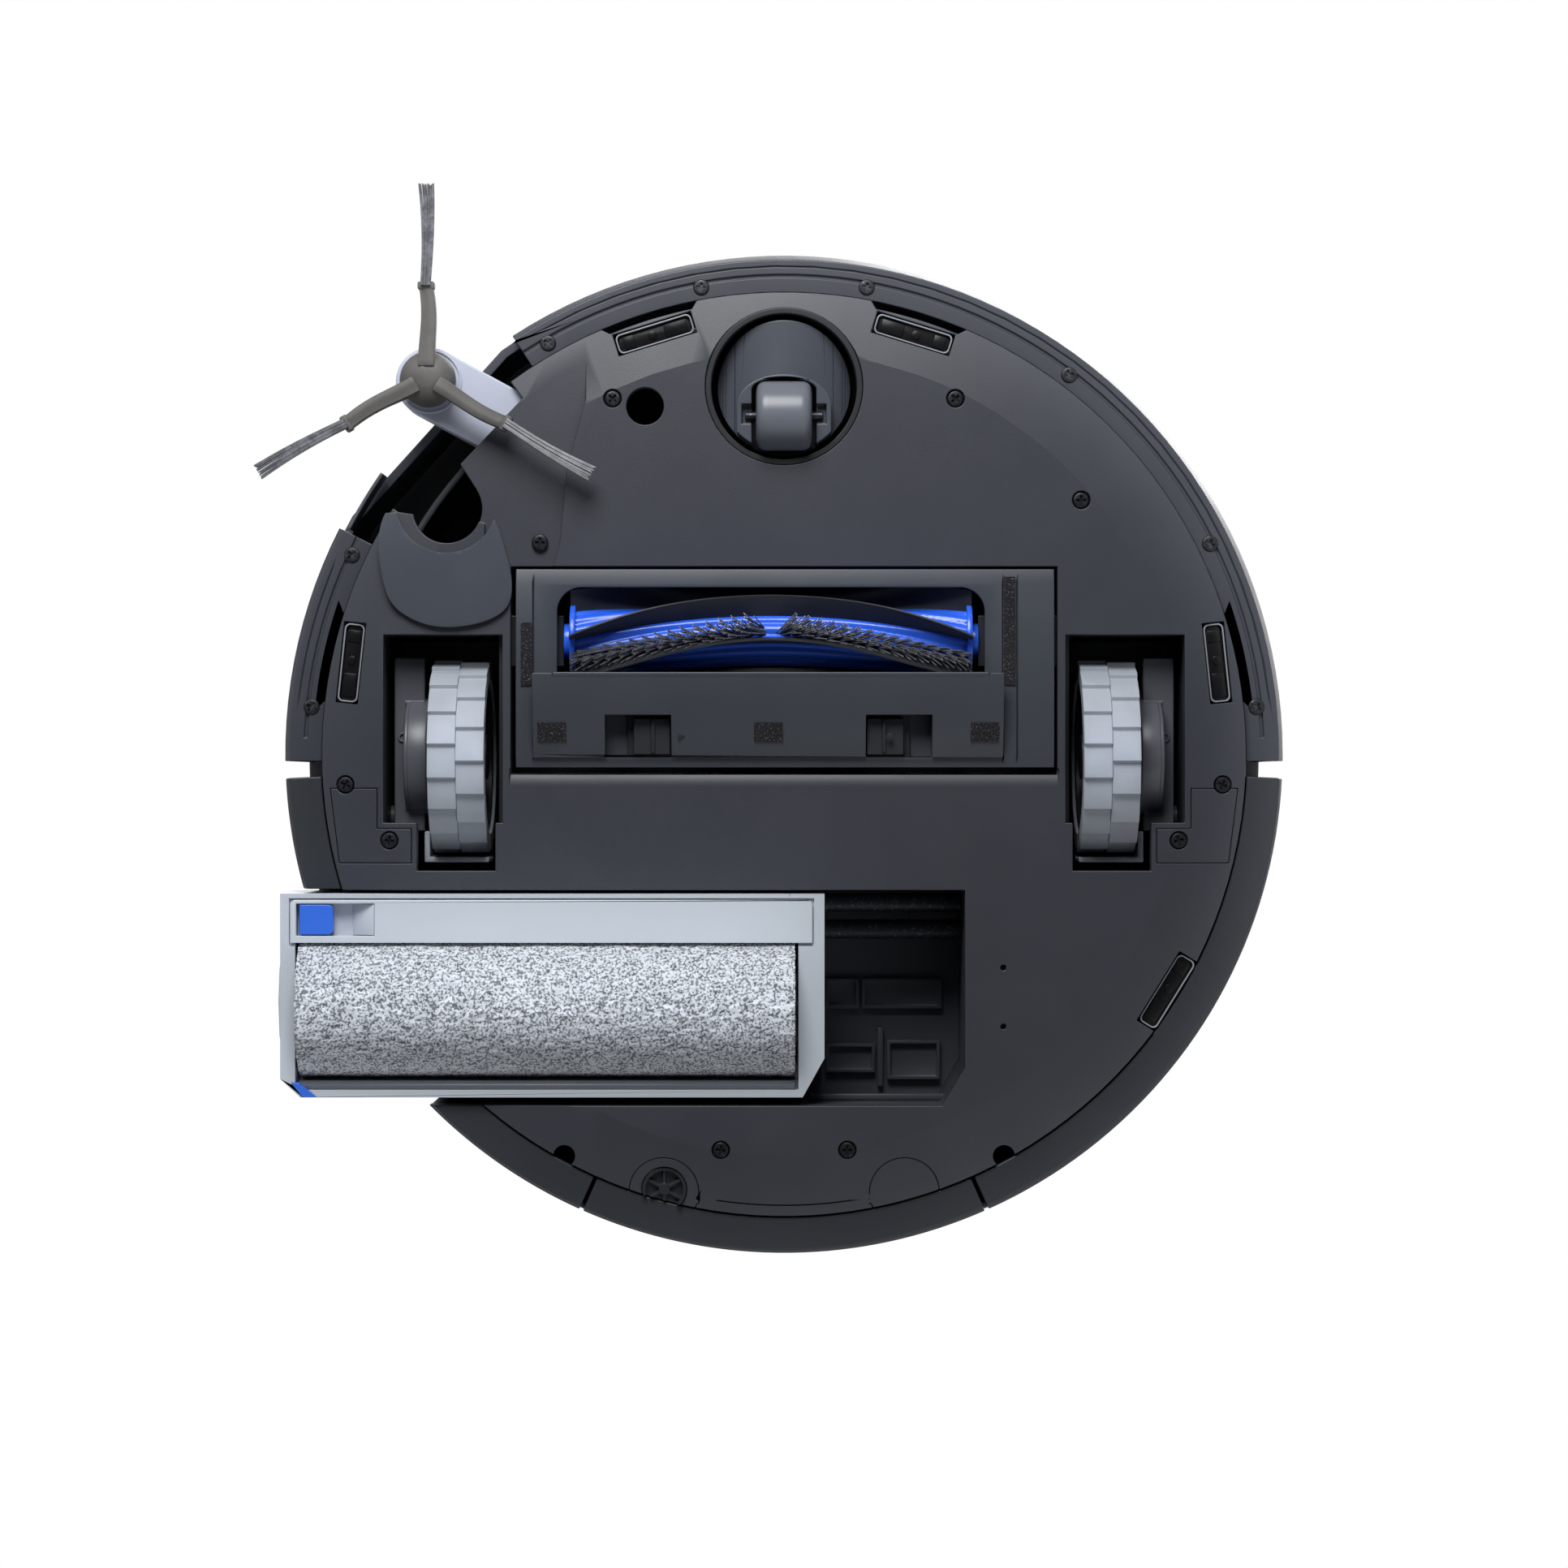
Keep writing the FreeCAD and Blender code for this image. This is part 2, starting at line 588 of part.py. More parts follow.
def bumper_shell():
    wall_part = cut(bumper_solid(0, d.bumper_bottom, d.bumper_top),
                    bumper_solid(-d.bumper_wall, d.bumper_bottom - 1, d.bumper_top + 1))
    flange = cut(bumper_solid(0, d.bumper_bottom, d.bumper_bottom + d.bumper_flange),
                 disc(d.bumper_inner, d.bumper_bottom - 1, d.bumper_bottom + 5))
    notch = sector(d.bumper_inner - 5, d.body_radius + 5, d.bumper_bottom - 1, d.notch_top,
                   NOTCH_START, NOTCH_SPAN)
    groove = sector(d.groove_inner, d.groove_outer, d.bumper_bottom - 1,
                    d.bumper_bottom + d.groove_depth, 182.0, 176.0)
    window = sector(d.body_radius - 6, d.body_radius + 5, d.window_bottom, d.window_top,
                    270 - d.window_span.value / 2, d.window_span)
    bevel = revolved([(d.body_radius - 3, d.bumper_bottom - THROUGH),
                      (d.body_radius + 4, d.bumper_bottom - THROUGH),
                      (d.body_radius + 4, d.bumper_bottom + 6),
                      (d.body_radius + 0.1, d.bumper_bottom + 6)], 0, 0, 0)
    return cut(fuse(wall_part, flange), notch, groove, window, bevel)


node("bumper_shell", bumper_shell())
node("front_window", sector(d.body_radius - d.bumper_wall, d.body_radius - 0.3,
                            d.window_bottom + 0.1, d.window_top - 0.1,
                            270.1 - d.window_span.value / 2, d.window_span - 0.2))

BUMPER_SCREWS = [(-150.9, -69.5), (-165.0, -16.5), (165.0, -16.5), (-82.4, -143.5),
                 (-28.9, -163), (28.9, -163), (99.6, -132.4), (148.8, -73.5)]
node("bumper_screws", fuse(*[disc(2.3, d.bumper_bottom - 0.5, d.bumper_bottom, x, y)
                             for x, y in BUMPER_SCREWS]))


# ---------------------------------------------------------------- drive wheels

def drive_unit():
    """The suspension arm with the motor and gears, beside the wheel."""
    side = d.tyre_outer + 1
    drum = rod(20.0, side, side + 8.5, d.wheel_y, d.wheel_radius)
    case = box(side + 2, d.drive_outer, -34, 27, 28, 58)
    pivot = rod(d.pivot_radius, d.drive_outer - 1, d.well_outer + d.tub_wall, d.pivot_y, d.pivot_z)
    axle_bore = rod(d.axle_radius + d.running_gap, side - 1, side + 6, d.wheel_y, d.wheel_radius)
    return cut(fuse(drum, case, pivot), axle_bore)


def wheel_guard():
    """The scraper behind the tyre, with a leg to the drive unit."""
    plate = box(d.tyre_inner, d.tyre_outer + 3, 36, 38, 26, 46)
    leg = box(d.tyre_outer + 1, d.tyre_outer + 3, 27, 36, 26, 46)
    return fuse(plate, leg)


def tyre():
    """A ring with bevelled shoulders."""
    width = d.tyre_outer - d.tyre_inner
    return revolved([(d.rim_radius, 0), (d.wheel_radius - 2, 0), (d.wheel_radius, 2),
                     (d.wheel_radius, width - 2), (d.wheel_radius - 2, width),
                     (d.rim_radius, width)],
                    d.tyre_inner, d.wheel_y, d.wheel_radius, ALONG_X)


def wheel_rim():
    dish = rod(d.rim_radius, d.tyre_inner + 1, d.tyre_outer - 0.5, d.wheel_y, d.wheel_radius)
    hollow = cut(rod(d.rim_radius - 4, d.tyre_inner, d.tyre_inner + 9, d.wheel_y, d.wheel_radius),
                 rod(8.0, d.tyre_inner, d.tyre_inner + 9, d.wheel_y, d.wheel_radius))
    axle = rod(d.axle_radius, d.tyre_outer - 1, d.tyre_outer + 6, d.wheel_y, d.wheel_radius)
    return fuse(cut(dish, hollow), axle)


for name, make in (("drive_unit", drive_unit), ("wheel_guard", wheel_guard), ("tyre", tyre),
                   ("wheel_rim", wheel_rim)):
    node(name + "_right", make())
    node(name + "_left", mirrored(make()))


# ---------------------------------------------------------------- caster

def caster_swivel():
    """A domed turntable with a slot for the wheel and a stem above."""
    radius = d.swivel_radius
    dome = revolved([(0, 15), (radius - 9, 15), (radius - 3, 17.5), (radius, 22),
                     (radius, d.swivel_top), (0, d.swivel_top)], 0, d.caster_y, 0)
    stem = disc(5, d.swivel_top - 1, d.cup_top - 1.5, 0, d.caster_y)
    slot = box(-d.caster_half - 0.7, d.caster_half + 0.7, d.caster_axle_y - 13.2,
               d.caster_axle_y + 13.2, 8, 25.4)
    ears = box(-13.5, 13.5, d.caster_axle_y - 4, d.caster_axle_y + 4, 9, 17)
    bore = rod(d.caster_pin_radius, -16, 16, d.caster_axle_y, d.caster_radius)
    return cut(fuse(dome, stem, ears), slot, bore)


node("caster_swivel", caster_swivel())
node("caster_axle", rod(d.caster_pin_radius, -13.5, 13.5, d.caster_axle_y, d.caster_radius))
node("caster_wheel", revolved([(d.caster_pin_radius + d.running_gap, 0), (9, 0), (11.2, 2.5),
                               (12, 6.5), (12, 12.8), (11.2, 16.8), (9, d.caster_half * 2),
                               (d.caster_pin_radius + d.running_gap, d.caster_half * 2)],
                              -d.caster_half, d.caster_axle_y, d.caster_radius, ALONG_X))


# ---------------------------------------------------------------- main brush and its cover

def brush_core():
    body = rod(d.brush_core_radius, d.brush_left, d.brush_right, d.brush_y, d.brush_z)
    ends = [rod(3.0, x0, x1, d.brush_y, d.brush_z)
            for x0, x1 in ((d.brush_left - 7, d.brush_left + 1), (d.brush_right - 1, 74.2))]
    return fuse(body, *ends)


def brush_vanes(thickness, radius, first):
    """Four straight vanes along the brush, their inner edges on the core."""
    vanes = []
    for index in range(4):
        vane = doc.addObject("Part::Box", "vane")
        bind(vane, "Length", d.brush_right - d.brush_left - 3)
        bind(vane, "Width", thickness)
        bind(vane, "Height", radius)
        degrees = first + index * QUARTER_TURN
        sideways = Rotation(Vector(1, 0, 0), degrees).multVec(Vector(0, -value_of(thickness) / 2, 0))
        place(vane, d.brush_left + 1.5, d.brush_y + sideways.y, d.brush_z + sideways.z,
              Rotation(Vector(1, 0, 0), degrees))
        vanes.append(vane)
    core = rod(d.brush_core_radius, d.brush_left - 1, d.brush_right + 1, d.brush_y, d.brush_z)
    return cut(fuse(*vanes), core)


node("brush_core", brush_core())
node("brush_blades", brush_vanes(d.blade_thick, d.brush_radius - 0.1, 0.0))
node("brush_bristles", brush_vanes(d.tuft_thick, d.brush_radius - 0.4, 45.0))

POCKETS = [(-62.0, -39.1), (28.4, 51.3)]


def brush_cover():
    top = d.cover_bottom + d.cover_thick
    plate = box(d.cover_left, d.cover_right, d.cover_front, d.cover_rear, d.cover_bottom, top)
    mouth = box(d.mouth_left, d.mouth_right, d.mouth_front, d.mouth_rear, 0, 20)
    lip = side_prism([(d.lip_front, d.lip_bottom), (d.lip_front + 1.5, d.lip_bottom),
                      (d.mouth_rear + 2.6, d.cover_bottom), (d.mouth_rear + 2.6, top),
                      (d.mouth_rear, top), (d.lip_front, d.lip_bottom + 1.8)],
                     d.mouth_left - 1.2, d.mouth_right + 1.2)
    pockets = [box(x0, x1, d.pocket_front, d.pocket_rear, 8, 20) for x0, x1 in POCKETS]
    return cut(fuse(cut(plate, mouth), lip), *pockets)


node("brush_cover", brush_cover())
node("velvet_strips", fuse(box(-91.4, -87.5, -45.6, -23.8, d.cover_bottom - 0.7, d.cover_bottom),
                           box(76.2, 80.3, -61.6, -24, d.cover_bottom - 0.7, d.cover_bottom)))
node("felt_pads", fuse(*[box(x, x + 9.9, -10.8, -4.3, d.cover_bottom - 0.6, d.cover_bottom)
                         for x in (-85.3, -10.3, 64.6)]))


def latch_left():
    """A thumb slider in its pocket, and the slide plate behind the cover."""
    inner_end = POCKETS[0][1] - 0.4
    knob = box(inner_end - 12.7, inner_end, d.latch_front, d.latch_rear, 10.2, 13.7)
    slide = box(inner_end - 15, inner_end + 3, d.pocket_front - 0.5, d.pocket_rear + 0.5,
                13.6, 15.2)
    return fuse(knob, slide)


def latch_right():
    inner_end = POCKETS[1][0] + 0.4
    knob = box(inner_end, inner_end + 12.7, d.latch_front, d.latch_rear, 10.2, 13.7)
    slide = box(inner_end - 3, inner_end + 15, d.pocket_front - 0.5, d.pocket_rear + 0.5,
                13.6, 15.2)
    return fuse(knob, slide)


node("latch_left", latch_left())
node("latch_right", latch_right())


# ---------------------------------------------------------------- side brush on its swing arm

ARM_LENGTH = math.hypot(value_of(d.hub_x - d.arm_pivot_x), value_of(d.hub_y - d.arm_pivot_y))
ARM_ANGLE = math.degrees(math.atan2(value_of(d.hub_y - d.arm_pivot_y),
                                    value_of(d.hub_x - d.arm_pivot_x)))


def arm_housing():
    outside = fuse(
        disc(d.arm_half, d.arm_bottom, d.arm_top, d.arm_pivot_x, d.arm_pivot_y),
        disc(d.arm_half, d.arm_bottom, d.arm_top, d.hub_x, d.hub_y),
        turned_box(d.arm_pivot_x, d.arm_pivot_y, d.arm_bottom, d.arm_top, 0, ARM_LENGTH,
                   d.arm_half, ARM_ANGLE),
        disc(d.axle_radius, d.arm_top - 1, 43, d.arm_pivot_x, d.arm_pivot_y))
    motor_room = disc(d.motor_radius + 0.2, 21.4, 34.4, d.hub_x, d.hub_y)
    spindle_hole = disc(d.spindle_radius + 0.3, d.arm_bottom - 1, 22, d.hub_x, d.hub_y)
    return cut(outside, motor_room, spindle_hole)


def side_brush_motor():
    return fuse(disc(d.motor_radius, 21.6, 34.2, d.hub_x, d.hub_y),
                disc(d.spindle_radius, 11, 21.8, d.hub_x, d.hub_y))


FINGER_ANGLES = [-90.0, 30.0, 150.0]


def side_brush_hub():
    dome = revolved([(0, d.hub_bottom), (4.5, d.hub_bottom + 0.5), (7.6, d.hub_bottom + 2.4),
                     (d.hub_radius, d.hub_bottom + 6), (d.hub_radius, d.hub_top), (0, d.hub_top)],
                    d.hub_x, d.hub_y, 0)
    fingers = [turned_box(d.hub_x, d.hub_y, d.finger_bottom, d.finger_top, 3, d.finger_reach,
                          d.finger_width / 2, degrees) for degrees in FINGER_ANGLES]
    spindle_bore = disc(d.spindle_radius + d.running_gap, 10.5, d.hub_top + 1, d.hub_x, d.hub_y)
    return cut(fuse(dome, *fingers), spindle_bore)


node("arm_housing", arm_housing())
node("side_brush_motor", side_brush_motor())
node("side_brush_hub", side_brush_hub())


def bristle_tuft(degrees):
    """A tuft's clamped root, and its thinner tip that lies just above the floor."""
    root = turned_box(d.hub_x, d.hub_y, d.bristle_bottom, d.bristle_top, d.finger_reach,
                      d.bristle_knee + 0.2, d.bristle_width / 2, degrees)
    tip = turned_box(d.hub_x, d.hub_y, d.bristle_bottom, d.tip_top, d.bristle_knee,
                     d.bristle_reach, d.bristle_width / 2, degrees)
    return fuse(root, tip)


node("side_brush_bristles", fuse(*[bristle_tuft(degrees) for degrees in FINGER_ANGLES]))


# ---------------------------------------------------------------- mop module

TAB_OUTLINE = [(-171.5, 114.2), (-168.6, 114.2), (-162.4, 119.3), (-167.3, 119.3)]
BUTTON_POCKET = (-169.6, -142.4, 52.0, 63.2)


def mop_housing():
    case = prism([(d.mop_left, d.mop_front), (d.mop_right, d.mop_front), (d.mop_right, 105.8),
                  (d.mop_right - 7.6, d.mop_rear), (d.mop_left + 7, d.mop_rear),
                  (d.mop_left, 113)], d.mop_bottom, d.mop_top)
    left = d.roller_left - 0.8
    right = d.roller_right + 0.8
    arch = rod(d.roller_radius + d.roller_room, left, right, d.roller_y, d.roller_radius)
    mouth = box(left, right, 66.6, 116.8, d.mop_bottom - THROUGH, d.roller_radius)
    journal = rod(d.axle_radius + d.running_gap, left - 3, right + 3, d.roller_y, d.roller_radius)
    cover_seat = box(-171.8, 10.1, 50.5, 66.7, d.mop_bottom - THROUGH, d.mop_bottom + 1.2)
    pocket = box(BUTTON_POCKET[0], BUTTON_POCKET[1], BUTTON_POCKET[2], BUTTON_POCKET[3],
                 d.mop_bottom - THROUGH, d.mop_bottom + 4.5)
    tab_seat = prism(TAB_OUTLINE, d.mop_bottom - THROUGH, 20.2)
    bores = [rod(d.rod_radius + 0.3, d.mop_right - d.rod_bore_depth, d.mop_right + THROUGH, y,
                 d.rod_z) for y in ROD_YS]
    return cut(case, arch, mouth, journal, cover_seat, pocket, tab_seat, *bores)


node("mop_housing", mop_housing())
node("mop_cover", cut(box(-171.6, 9.9, 50.7, 66.5, d.mop_bottom - 0.8, d.mop_bottom + 1.2),
                      box(BUTTON_POCKET[0], BUTTON_POCKET[1], BUTTON_POCKET[2], BUTTON_POCKET[3],
                          10, 20),
                      rod(d.roller_radius + d.roller_room, -180, 20, d.roller_y,
                          d.roller_radius)))
node("mop_corner_tab", prism(TAB_OUTLINE, 12.2, 20.2))
node("mop_button", box(-168.5, -156.7, 52.3, 62.8, 12.4, 17))
node("mop_core", fuse(rod(d.roller_core_radius, d.roller_left, d.roller_right, d.roller_y,
                          d.roller_radius),
                      rod(d.axle_radius, d.roller_left - 3.2, d.roller_right + 3.2, d.roller_y,
                          d.roller_radius)))
node("mop_fabric", cut(rod(d.roller_radius, d.roller_left + 0.4, d.roller_right - 0.4,
                           d.roller_y, d.roller_radius),
                       rod(d.roller_core_radius, d.roller_left, d.roller_right, d.roller_y,
                           d.roller_radius)))


# ---------------------------------------------------------------- lid, dust bin, power button

node("top_lid", cut(disc(d.lid_radius, d.deck_top + 0.2, d.body_top),
                    box(-180, 180, -180, d.strip_rear + 0.5, 90, 100),
                    revolved([(d.lid_radius - 1.5, d.body_top + 1), (d.lid_radius + 2, d.body_top + 1),
                              (d.lid_radius + 2, d.body_top - 1.7),
                              (d.lid_radius + 0.05, d.body_top - 1.7)], 0, 0, 0)))


def dust_bin():
    outside = box(-d.bin_half, d.bin_half, d.bin_front, d.bin_rear, d.bin_bottom, d.bin_top)
    inside = box(-d.bin_half + d.bin_wall, d.bin_half - d.bin_wall, d.bin_front + d.bin_wall,
                 d.bin_rear - d.bin_wall, d.bin_bottom + d.bin_wall, d.bin_top + 1)
    inlet = box(-d.duct_half, d.duct_half, d.duct_front, d.duct_rear, d.bin_bottom - 1,
                d.bin_bottom + d.bin_wall + 1)
    return cut(outside, inside, inlet)


node("dust_bin", dust_bin())
node("power_button", disc(d.power_radius, d.deck_bottom + 3.5, d.body_top, 0, d.power_y))


# ---------------------------------------------------------------- checks and export

doc.recompute()
faults = []
for item in doc.Objects:
    if "Invalid" in item.State or "Error" in item.State:
        faults.append("%s (%s) is %s" % (item.Name, item.Label, item.State))
for item in NODES:
    if item.Shape.isNull() or not item.Shape.isValid():
        faults.append("%s has no valid shape" % item.Label)
if len({item.Label for item in NODES}) != len(NODES):
    faults.append("two nodes share a name")
if faults:
    raise RuntimeError("; ".join(faults))
for item in NODES:
    box_of = item.Shape.BoundBox
    print("%-22s solids %2d  volume %10.1f mm3  z %6.1f..%6.1f" % (
        item.Label, len(item.Shape.Solids), item.Shape.Volume, box_of.ZMin, box_of.ZMax))
    item.Shape.exportStep("parts/%s.step" % item.Label)
print(len(NODES), "nodes written")
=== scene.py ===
# %% [markdown]
# # A round robot vacuum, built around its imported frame
#
# The machine stands on its wheels in the frame, and the camera looks up at its underside.
# That is the side with all the working parts: the caster, the swing-out side brush, the drive
# wheels, the main brush behind its cover and the roller mop in its bay. Each step below says
# what a piece is on the real machine, how it could be made, and why it is made this way.

# %% The frame and the first measurements
import json
import math
import random

import bpy
from mathutils import Matrix, Vector

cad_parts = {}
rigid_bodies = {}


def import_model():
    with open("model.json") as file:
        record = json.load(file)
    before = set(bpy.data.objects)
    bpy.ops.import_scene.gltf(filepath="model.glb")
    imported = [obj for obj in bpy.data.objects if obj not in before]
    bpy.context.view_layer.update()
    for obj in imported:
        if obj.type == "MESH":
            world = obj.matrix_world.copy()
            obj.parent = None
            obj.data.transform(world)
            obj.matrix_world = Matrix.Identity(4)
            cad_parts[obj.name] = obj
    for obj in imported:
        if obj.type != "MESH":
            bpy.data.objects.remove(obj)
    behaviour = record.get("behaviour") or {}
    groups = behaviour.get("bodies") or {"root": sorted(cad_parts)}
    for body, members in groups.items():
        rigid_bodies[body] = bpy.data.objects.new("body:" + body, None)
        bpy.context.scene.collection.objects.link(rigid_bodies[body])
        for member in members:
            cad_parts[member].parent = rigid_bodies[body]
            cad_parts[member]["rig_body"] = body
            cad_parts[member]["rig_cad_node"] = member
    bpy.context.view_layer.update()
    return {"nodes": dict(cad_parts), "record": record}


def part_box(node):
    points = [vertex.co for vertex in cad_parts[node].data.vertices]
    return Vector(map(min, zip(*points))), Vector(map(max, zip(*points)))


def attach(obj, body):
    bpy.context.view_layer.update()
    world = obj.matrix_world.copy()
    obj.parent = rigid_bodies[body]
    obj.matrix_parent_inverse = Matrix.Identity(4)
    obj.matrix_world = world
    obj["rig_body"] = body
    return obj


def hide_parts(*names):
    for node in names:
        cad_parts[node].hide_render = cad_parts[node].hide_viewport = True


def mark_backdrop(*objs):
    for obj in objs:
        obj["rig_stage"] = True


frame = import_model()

nodes = frame["nodes"]
record = frame["record"]
MM = 0.001

# %% [markdown]
# ## Working by hand, in code
#
# Blender's operators act on whatever is selected, and the frame's nodes arrive selected. So the
# first helpers clear the selection and pick exactly one thing to work on. Lengths in the helpers
# are millimetres, because the machine's drawings are, and Blender's own unit here is the metre.

# %% Selecting one piece at a time
def settle():
    if bpy.context.mode != "OBJECT":
        bpy.ops.object.mode_set(mode="OBJECT")
    bpy.ops.object.select_all(action="DESELECT")


def only(*pieces):
    settle()
    for piece in pieces:
        piece.select_set(True)
    bpy.context.view_layer.objects.active = pieces[0]
    return pieces[0]


def set_down(piece, name):
    """Bake the place, turn and size into the mesh, so that the object sits at the origin."""
    only(piece)
    bpy.ops.object.transform_apply(location=True, rotation=True, scale=True)
    piece.name = name
    return piece


# %% [markdown]
# ## Blocks, drums and balls to start from
#
# A moulded piece usually starts as the simplest solid that holds it. The block takes its lowest
# and highest corners, and the drum takes its two ends, so a size read from the frame goes in
# unchanged. Neither is ever left as it is: each is cut, pulled or rounded afterwards.

# %% Starting solids
TURN_TO = {"X": (0, math.pi / 2, 0), "Y": (math.pi / 2, 0, 0), "Z": (0, 0, 0)}


def block(name, low, high):
    low, high = Vector(low) * MM, Vector(high) * MM
    settle()
    bpy.ops.mesh.primitive_cube_add(size=1, location=(low + high) / 2, scale=high - low)
    return set_down(bpy.context.object, name)


def drum(name, radius, centre, length, axis="Z", sides=64):
    settle()
    bpy.ops.mesh.primitive_cylinder_add(vertices=sides, radius=radius * MM, depth=length * MM,
                                        location=Vector(centre) * MM, rotation=TURN_TO[axis])
    return set_down(bpy.context.object, name)


def ball(name, radii, centre, sides=48):
    settle()
    bpy.ops.mesh.primitive_uv_sphere_add(segments=sides, ring_count=sides // 2, radius=MM,
                                         location=Vector(centre) * MM, scale=radii)
    return set_down(bpy.context.object, name)


# %% [markdown]
# ## Picking faces, edges and points by where they are
#
# By hand you would click a face. In code the same face is named by its place or the way it looks:
# "the top faces" are those whose normal points up. The helper leaves edit mode on with just those
# selected, ready for an inset, an extrude or a move.

# %% Picking in edit mode
def pick(piece, test, kind="FACE"):
    only(piece)
    bpy.ops.object.mode_set(mode="EDIT")
    bpy.ops.mesh.select_mode(type=kind)
    bpy.ops.mesh.select_all(action="DESELECT")
    bpy.ops.object.mode_set(mode="OBJECT")
    mesh = piece.data
    if kind == "FACE":
        for face in mesh.polygons:
            face.select = bool(test(face.center / MM, face.normal))
    elif kind == "EDGE":
        for edge in mesh.edges:
            a, b = (mesh.vertices[i].co / MM for i in edge.vertices)
            edge.select = bool(test((a + b) / 2, (b - a).normalized()))
    else:
        for point in mesh.vertices:
            point.select = bool(test(point.co / MM, None))
    bpy.ops.object.mode_set(mode="EDIT")


def finish_with(piece, kind, **settings):
    """Add one modifier, set it and apply it."""
    only(piece)
    step = piece.modifiers.new(kind.title(), kind)
    for key, value in settings.items():
        setattr(step, key, value)
    bpy.ops.object.modifier_apply(modifier=step.name)
    return piece


def carve(piece, *tools, operation="DIFFERENCE"):
    for tool in tools:
        finish_with(piece, "BOOLEAN", object=tool, operation=operation, solver="EXACT")
        bpy.data.objects.remove(tool)
    return piece


def join(name, *parts):
    parts = [part for part in parts if part is not None]
    only(*parts)
    if len(parts) > 1:
        bpy.ops.object.join()
    parts[0].name = name
    return parts[0]


def smooth(piece, angle=35):
    only(piece)
    bpy.ops.object.shade_smooth_by_angle(angle=math.radians(angle))
    return piece


def round_over(piece, width, segments=2, angle=30, smooth_angle=40):
    """Break the sharp edges, as a mould does, then shade the piece smooth."""
    finish_with(piece, "BEVEL", width=width * MM, segments=segments, limit_method="ANGLE",
                angle_limit=math.radians(angle), use_clamp_overlap=True)
    return smooth(piece, smooth_angle)


def tidy_mesh(piece, distance=0.005):
    only(piece)
    bpy.ops.object.mode_set(mode="EDIT")
    bpy.ops.mesh.select_all(action="SELECT")
    bpy.ops.mesh.remove_doubles(threshold=distance * MM)
    bpy.ops.mesh.normals_make_consistent(inside=False)
    settle()
    return piece


def copy_of(piece, name, move=(0, 0, 0), turn=0, axis="Z", about=(0, 0, 0)):
    """A copy with its own mesh, turned about a line through a point and moved, in place."""
    only(piece)
    bpy.ops.object.duplicate(linked=False)
    twin = bpy.context.object
    centre = Vector(about) * MM
    twin.matrix_world = (Matrix.Translation(Vector(move) * MM) @ Matrix.Translation(centre)
                         @ Matrix.Rotation(math.radians(turn), 4, axis)
                         @ Matrix.Translation(-centre))
    return set_down(twin, name)


def flipped(piece, name):
    """A copy mirrored across the middle of the machine."""
    twin = copy_of(piece, name)
    twin.scale = (-1, 1, 1)
    set_down(twin, name)
    return tidy_mesh(twin)


# %% [markdown]
# ## Softening a machined shape
#
# The frame's nodes have knife-sharp edges, because they hold only the measured shape. Real
# moulded plastic has a small radius on every edge, and that radius is what catches the light.
# So a copy of the node is welded, its flat faces are made whole again, and its edges are
# rounded. The frame's own node stays as it is and is hidden, because this copy stands for it.

# %% Softened copies of frame nodes
def welded(node):
    only(nodes[node])
    bpy.ops.object.duplicate(linked=False)
    piece = bpy.context.object
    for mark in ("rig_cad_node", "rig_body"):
        if mark in piece:
            del piece[mark]
    bpy.ops.object.parent_clear(type="CLEAR_KEEP_TRANSFORM")
    if piece.data.has_custom_normals:
        bpy.ops.mesh.customdata_custom_splitnormals_clear()
    piece.name = node + "_moulding"
    return merge_flat(piece)


def soften(piece, width, segments=2, angle=32, clamp=False, crease=None):
    finish_with(piece, "BEVEL", width=width * MM, segments=segments, limit_method="ANGLE",
                angle_limit=math.radians(angle), use_clamp_overlap=clamp, loop_slide=True)
    smooth(piece, 50)
    if crease:
        pick(piece, crease, "EDGE")
        bpy.ops.mesh.mark_sharp()
        settle()
    return finish_with(piece, "WEIGHTED_NORMAL", keep_sharp=True, weight=100)


def merge_flat(piece):
    """Make each flat face one face again after cuts and joins."""
    only(piece)
    bpy.ops.object.mode_set(mode="EDIT")
    bpy.ops.mesh.select_all(action="SELECT")
    bpy.ops.mesh.remove_doubles(threshold=0.004 * MM)
    bpy.ops.mesh.dissolve_limited(angle_limit=math.radians(0.6))
    settle()
    return piece


def body_of(node):
    for body, names in record["behaviour"]["bodies"].items():
        if node in names:
            return body


def stand_for(piece, *replaced, body=None):
    """Let a new piece take the place of frame nodes and move with their body."""
    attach(piece, body or body_of(replaced[0]))
    if replaced:
        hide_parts(*replaced)
        wear(piece, slot_of[replaced[0]])
    return piece


slot_of = {row["node"]: row["material_slot"] for row in record["subparts"]}

# %% [markdown]
# ## Sums on sockets
#
# A finish is a small sum: how strong the grain is, times how deep, minus a little. Written as
# nodes and links such a sum is hard to read, so this class wraps one socket and lets Python's own
# signs build the Math nodes. `1 - mask` and `mask * 0.2 + 0.4` then read as they would on paper.

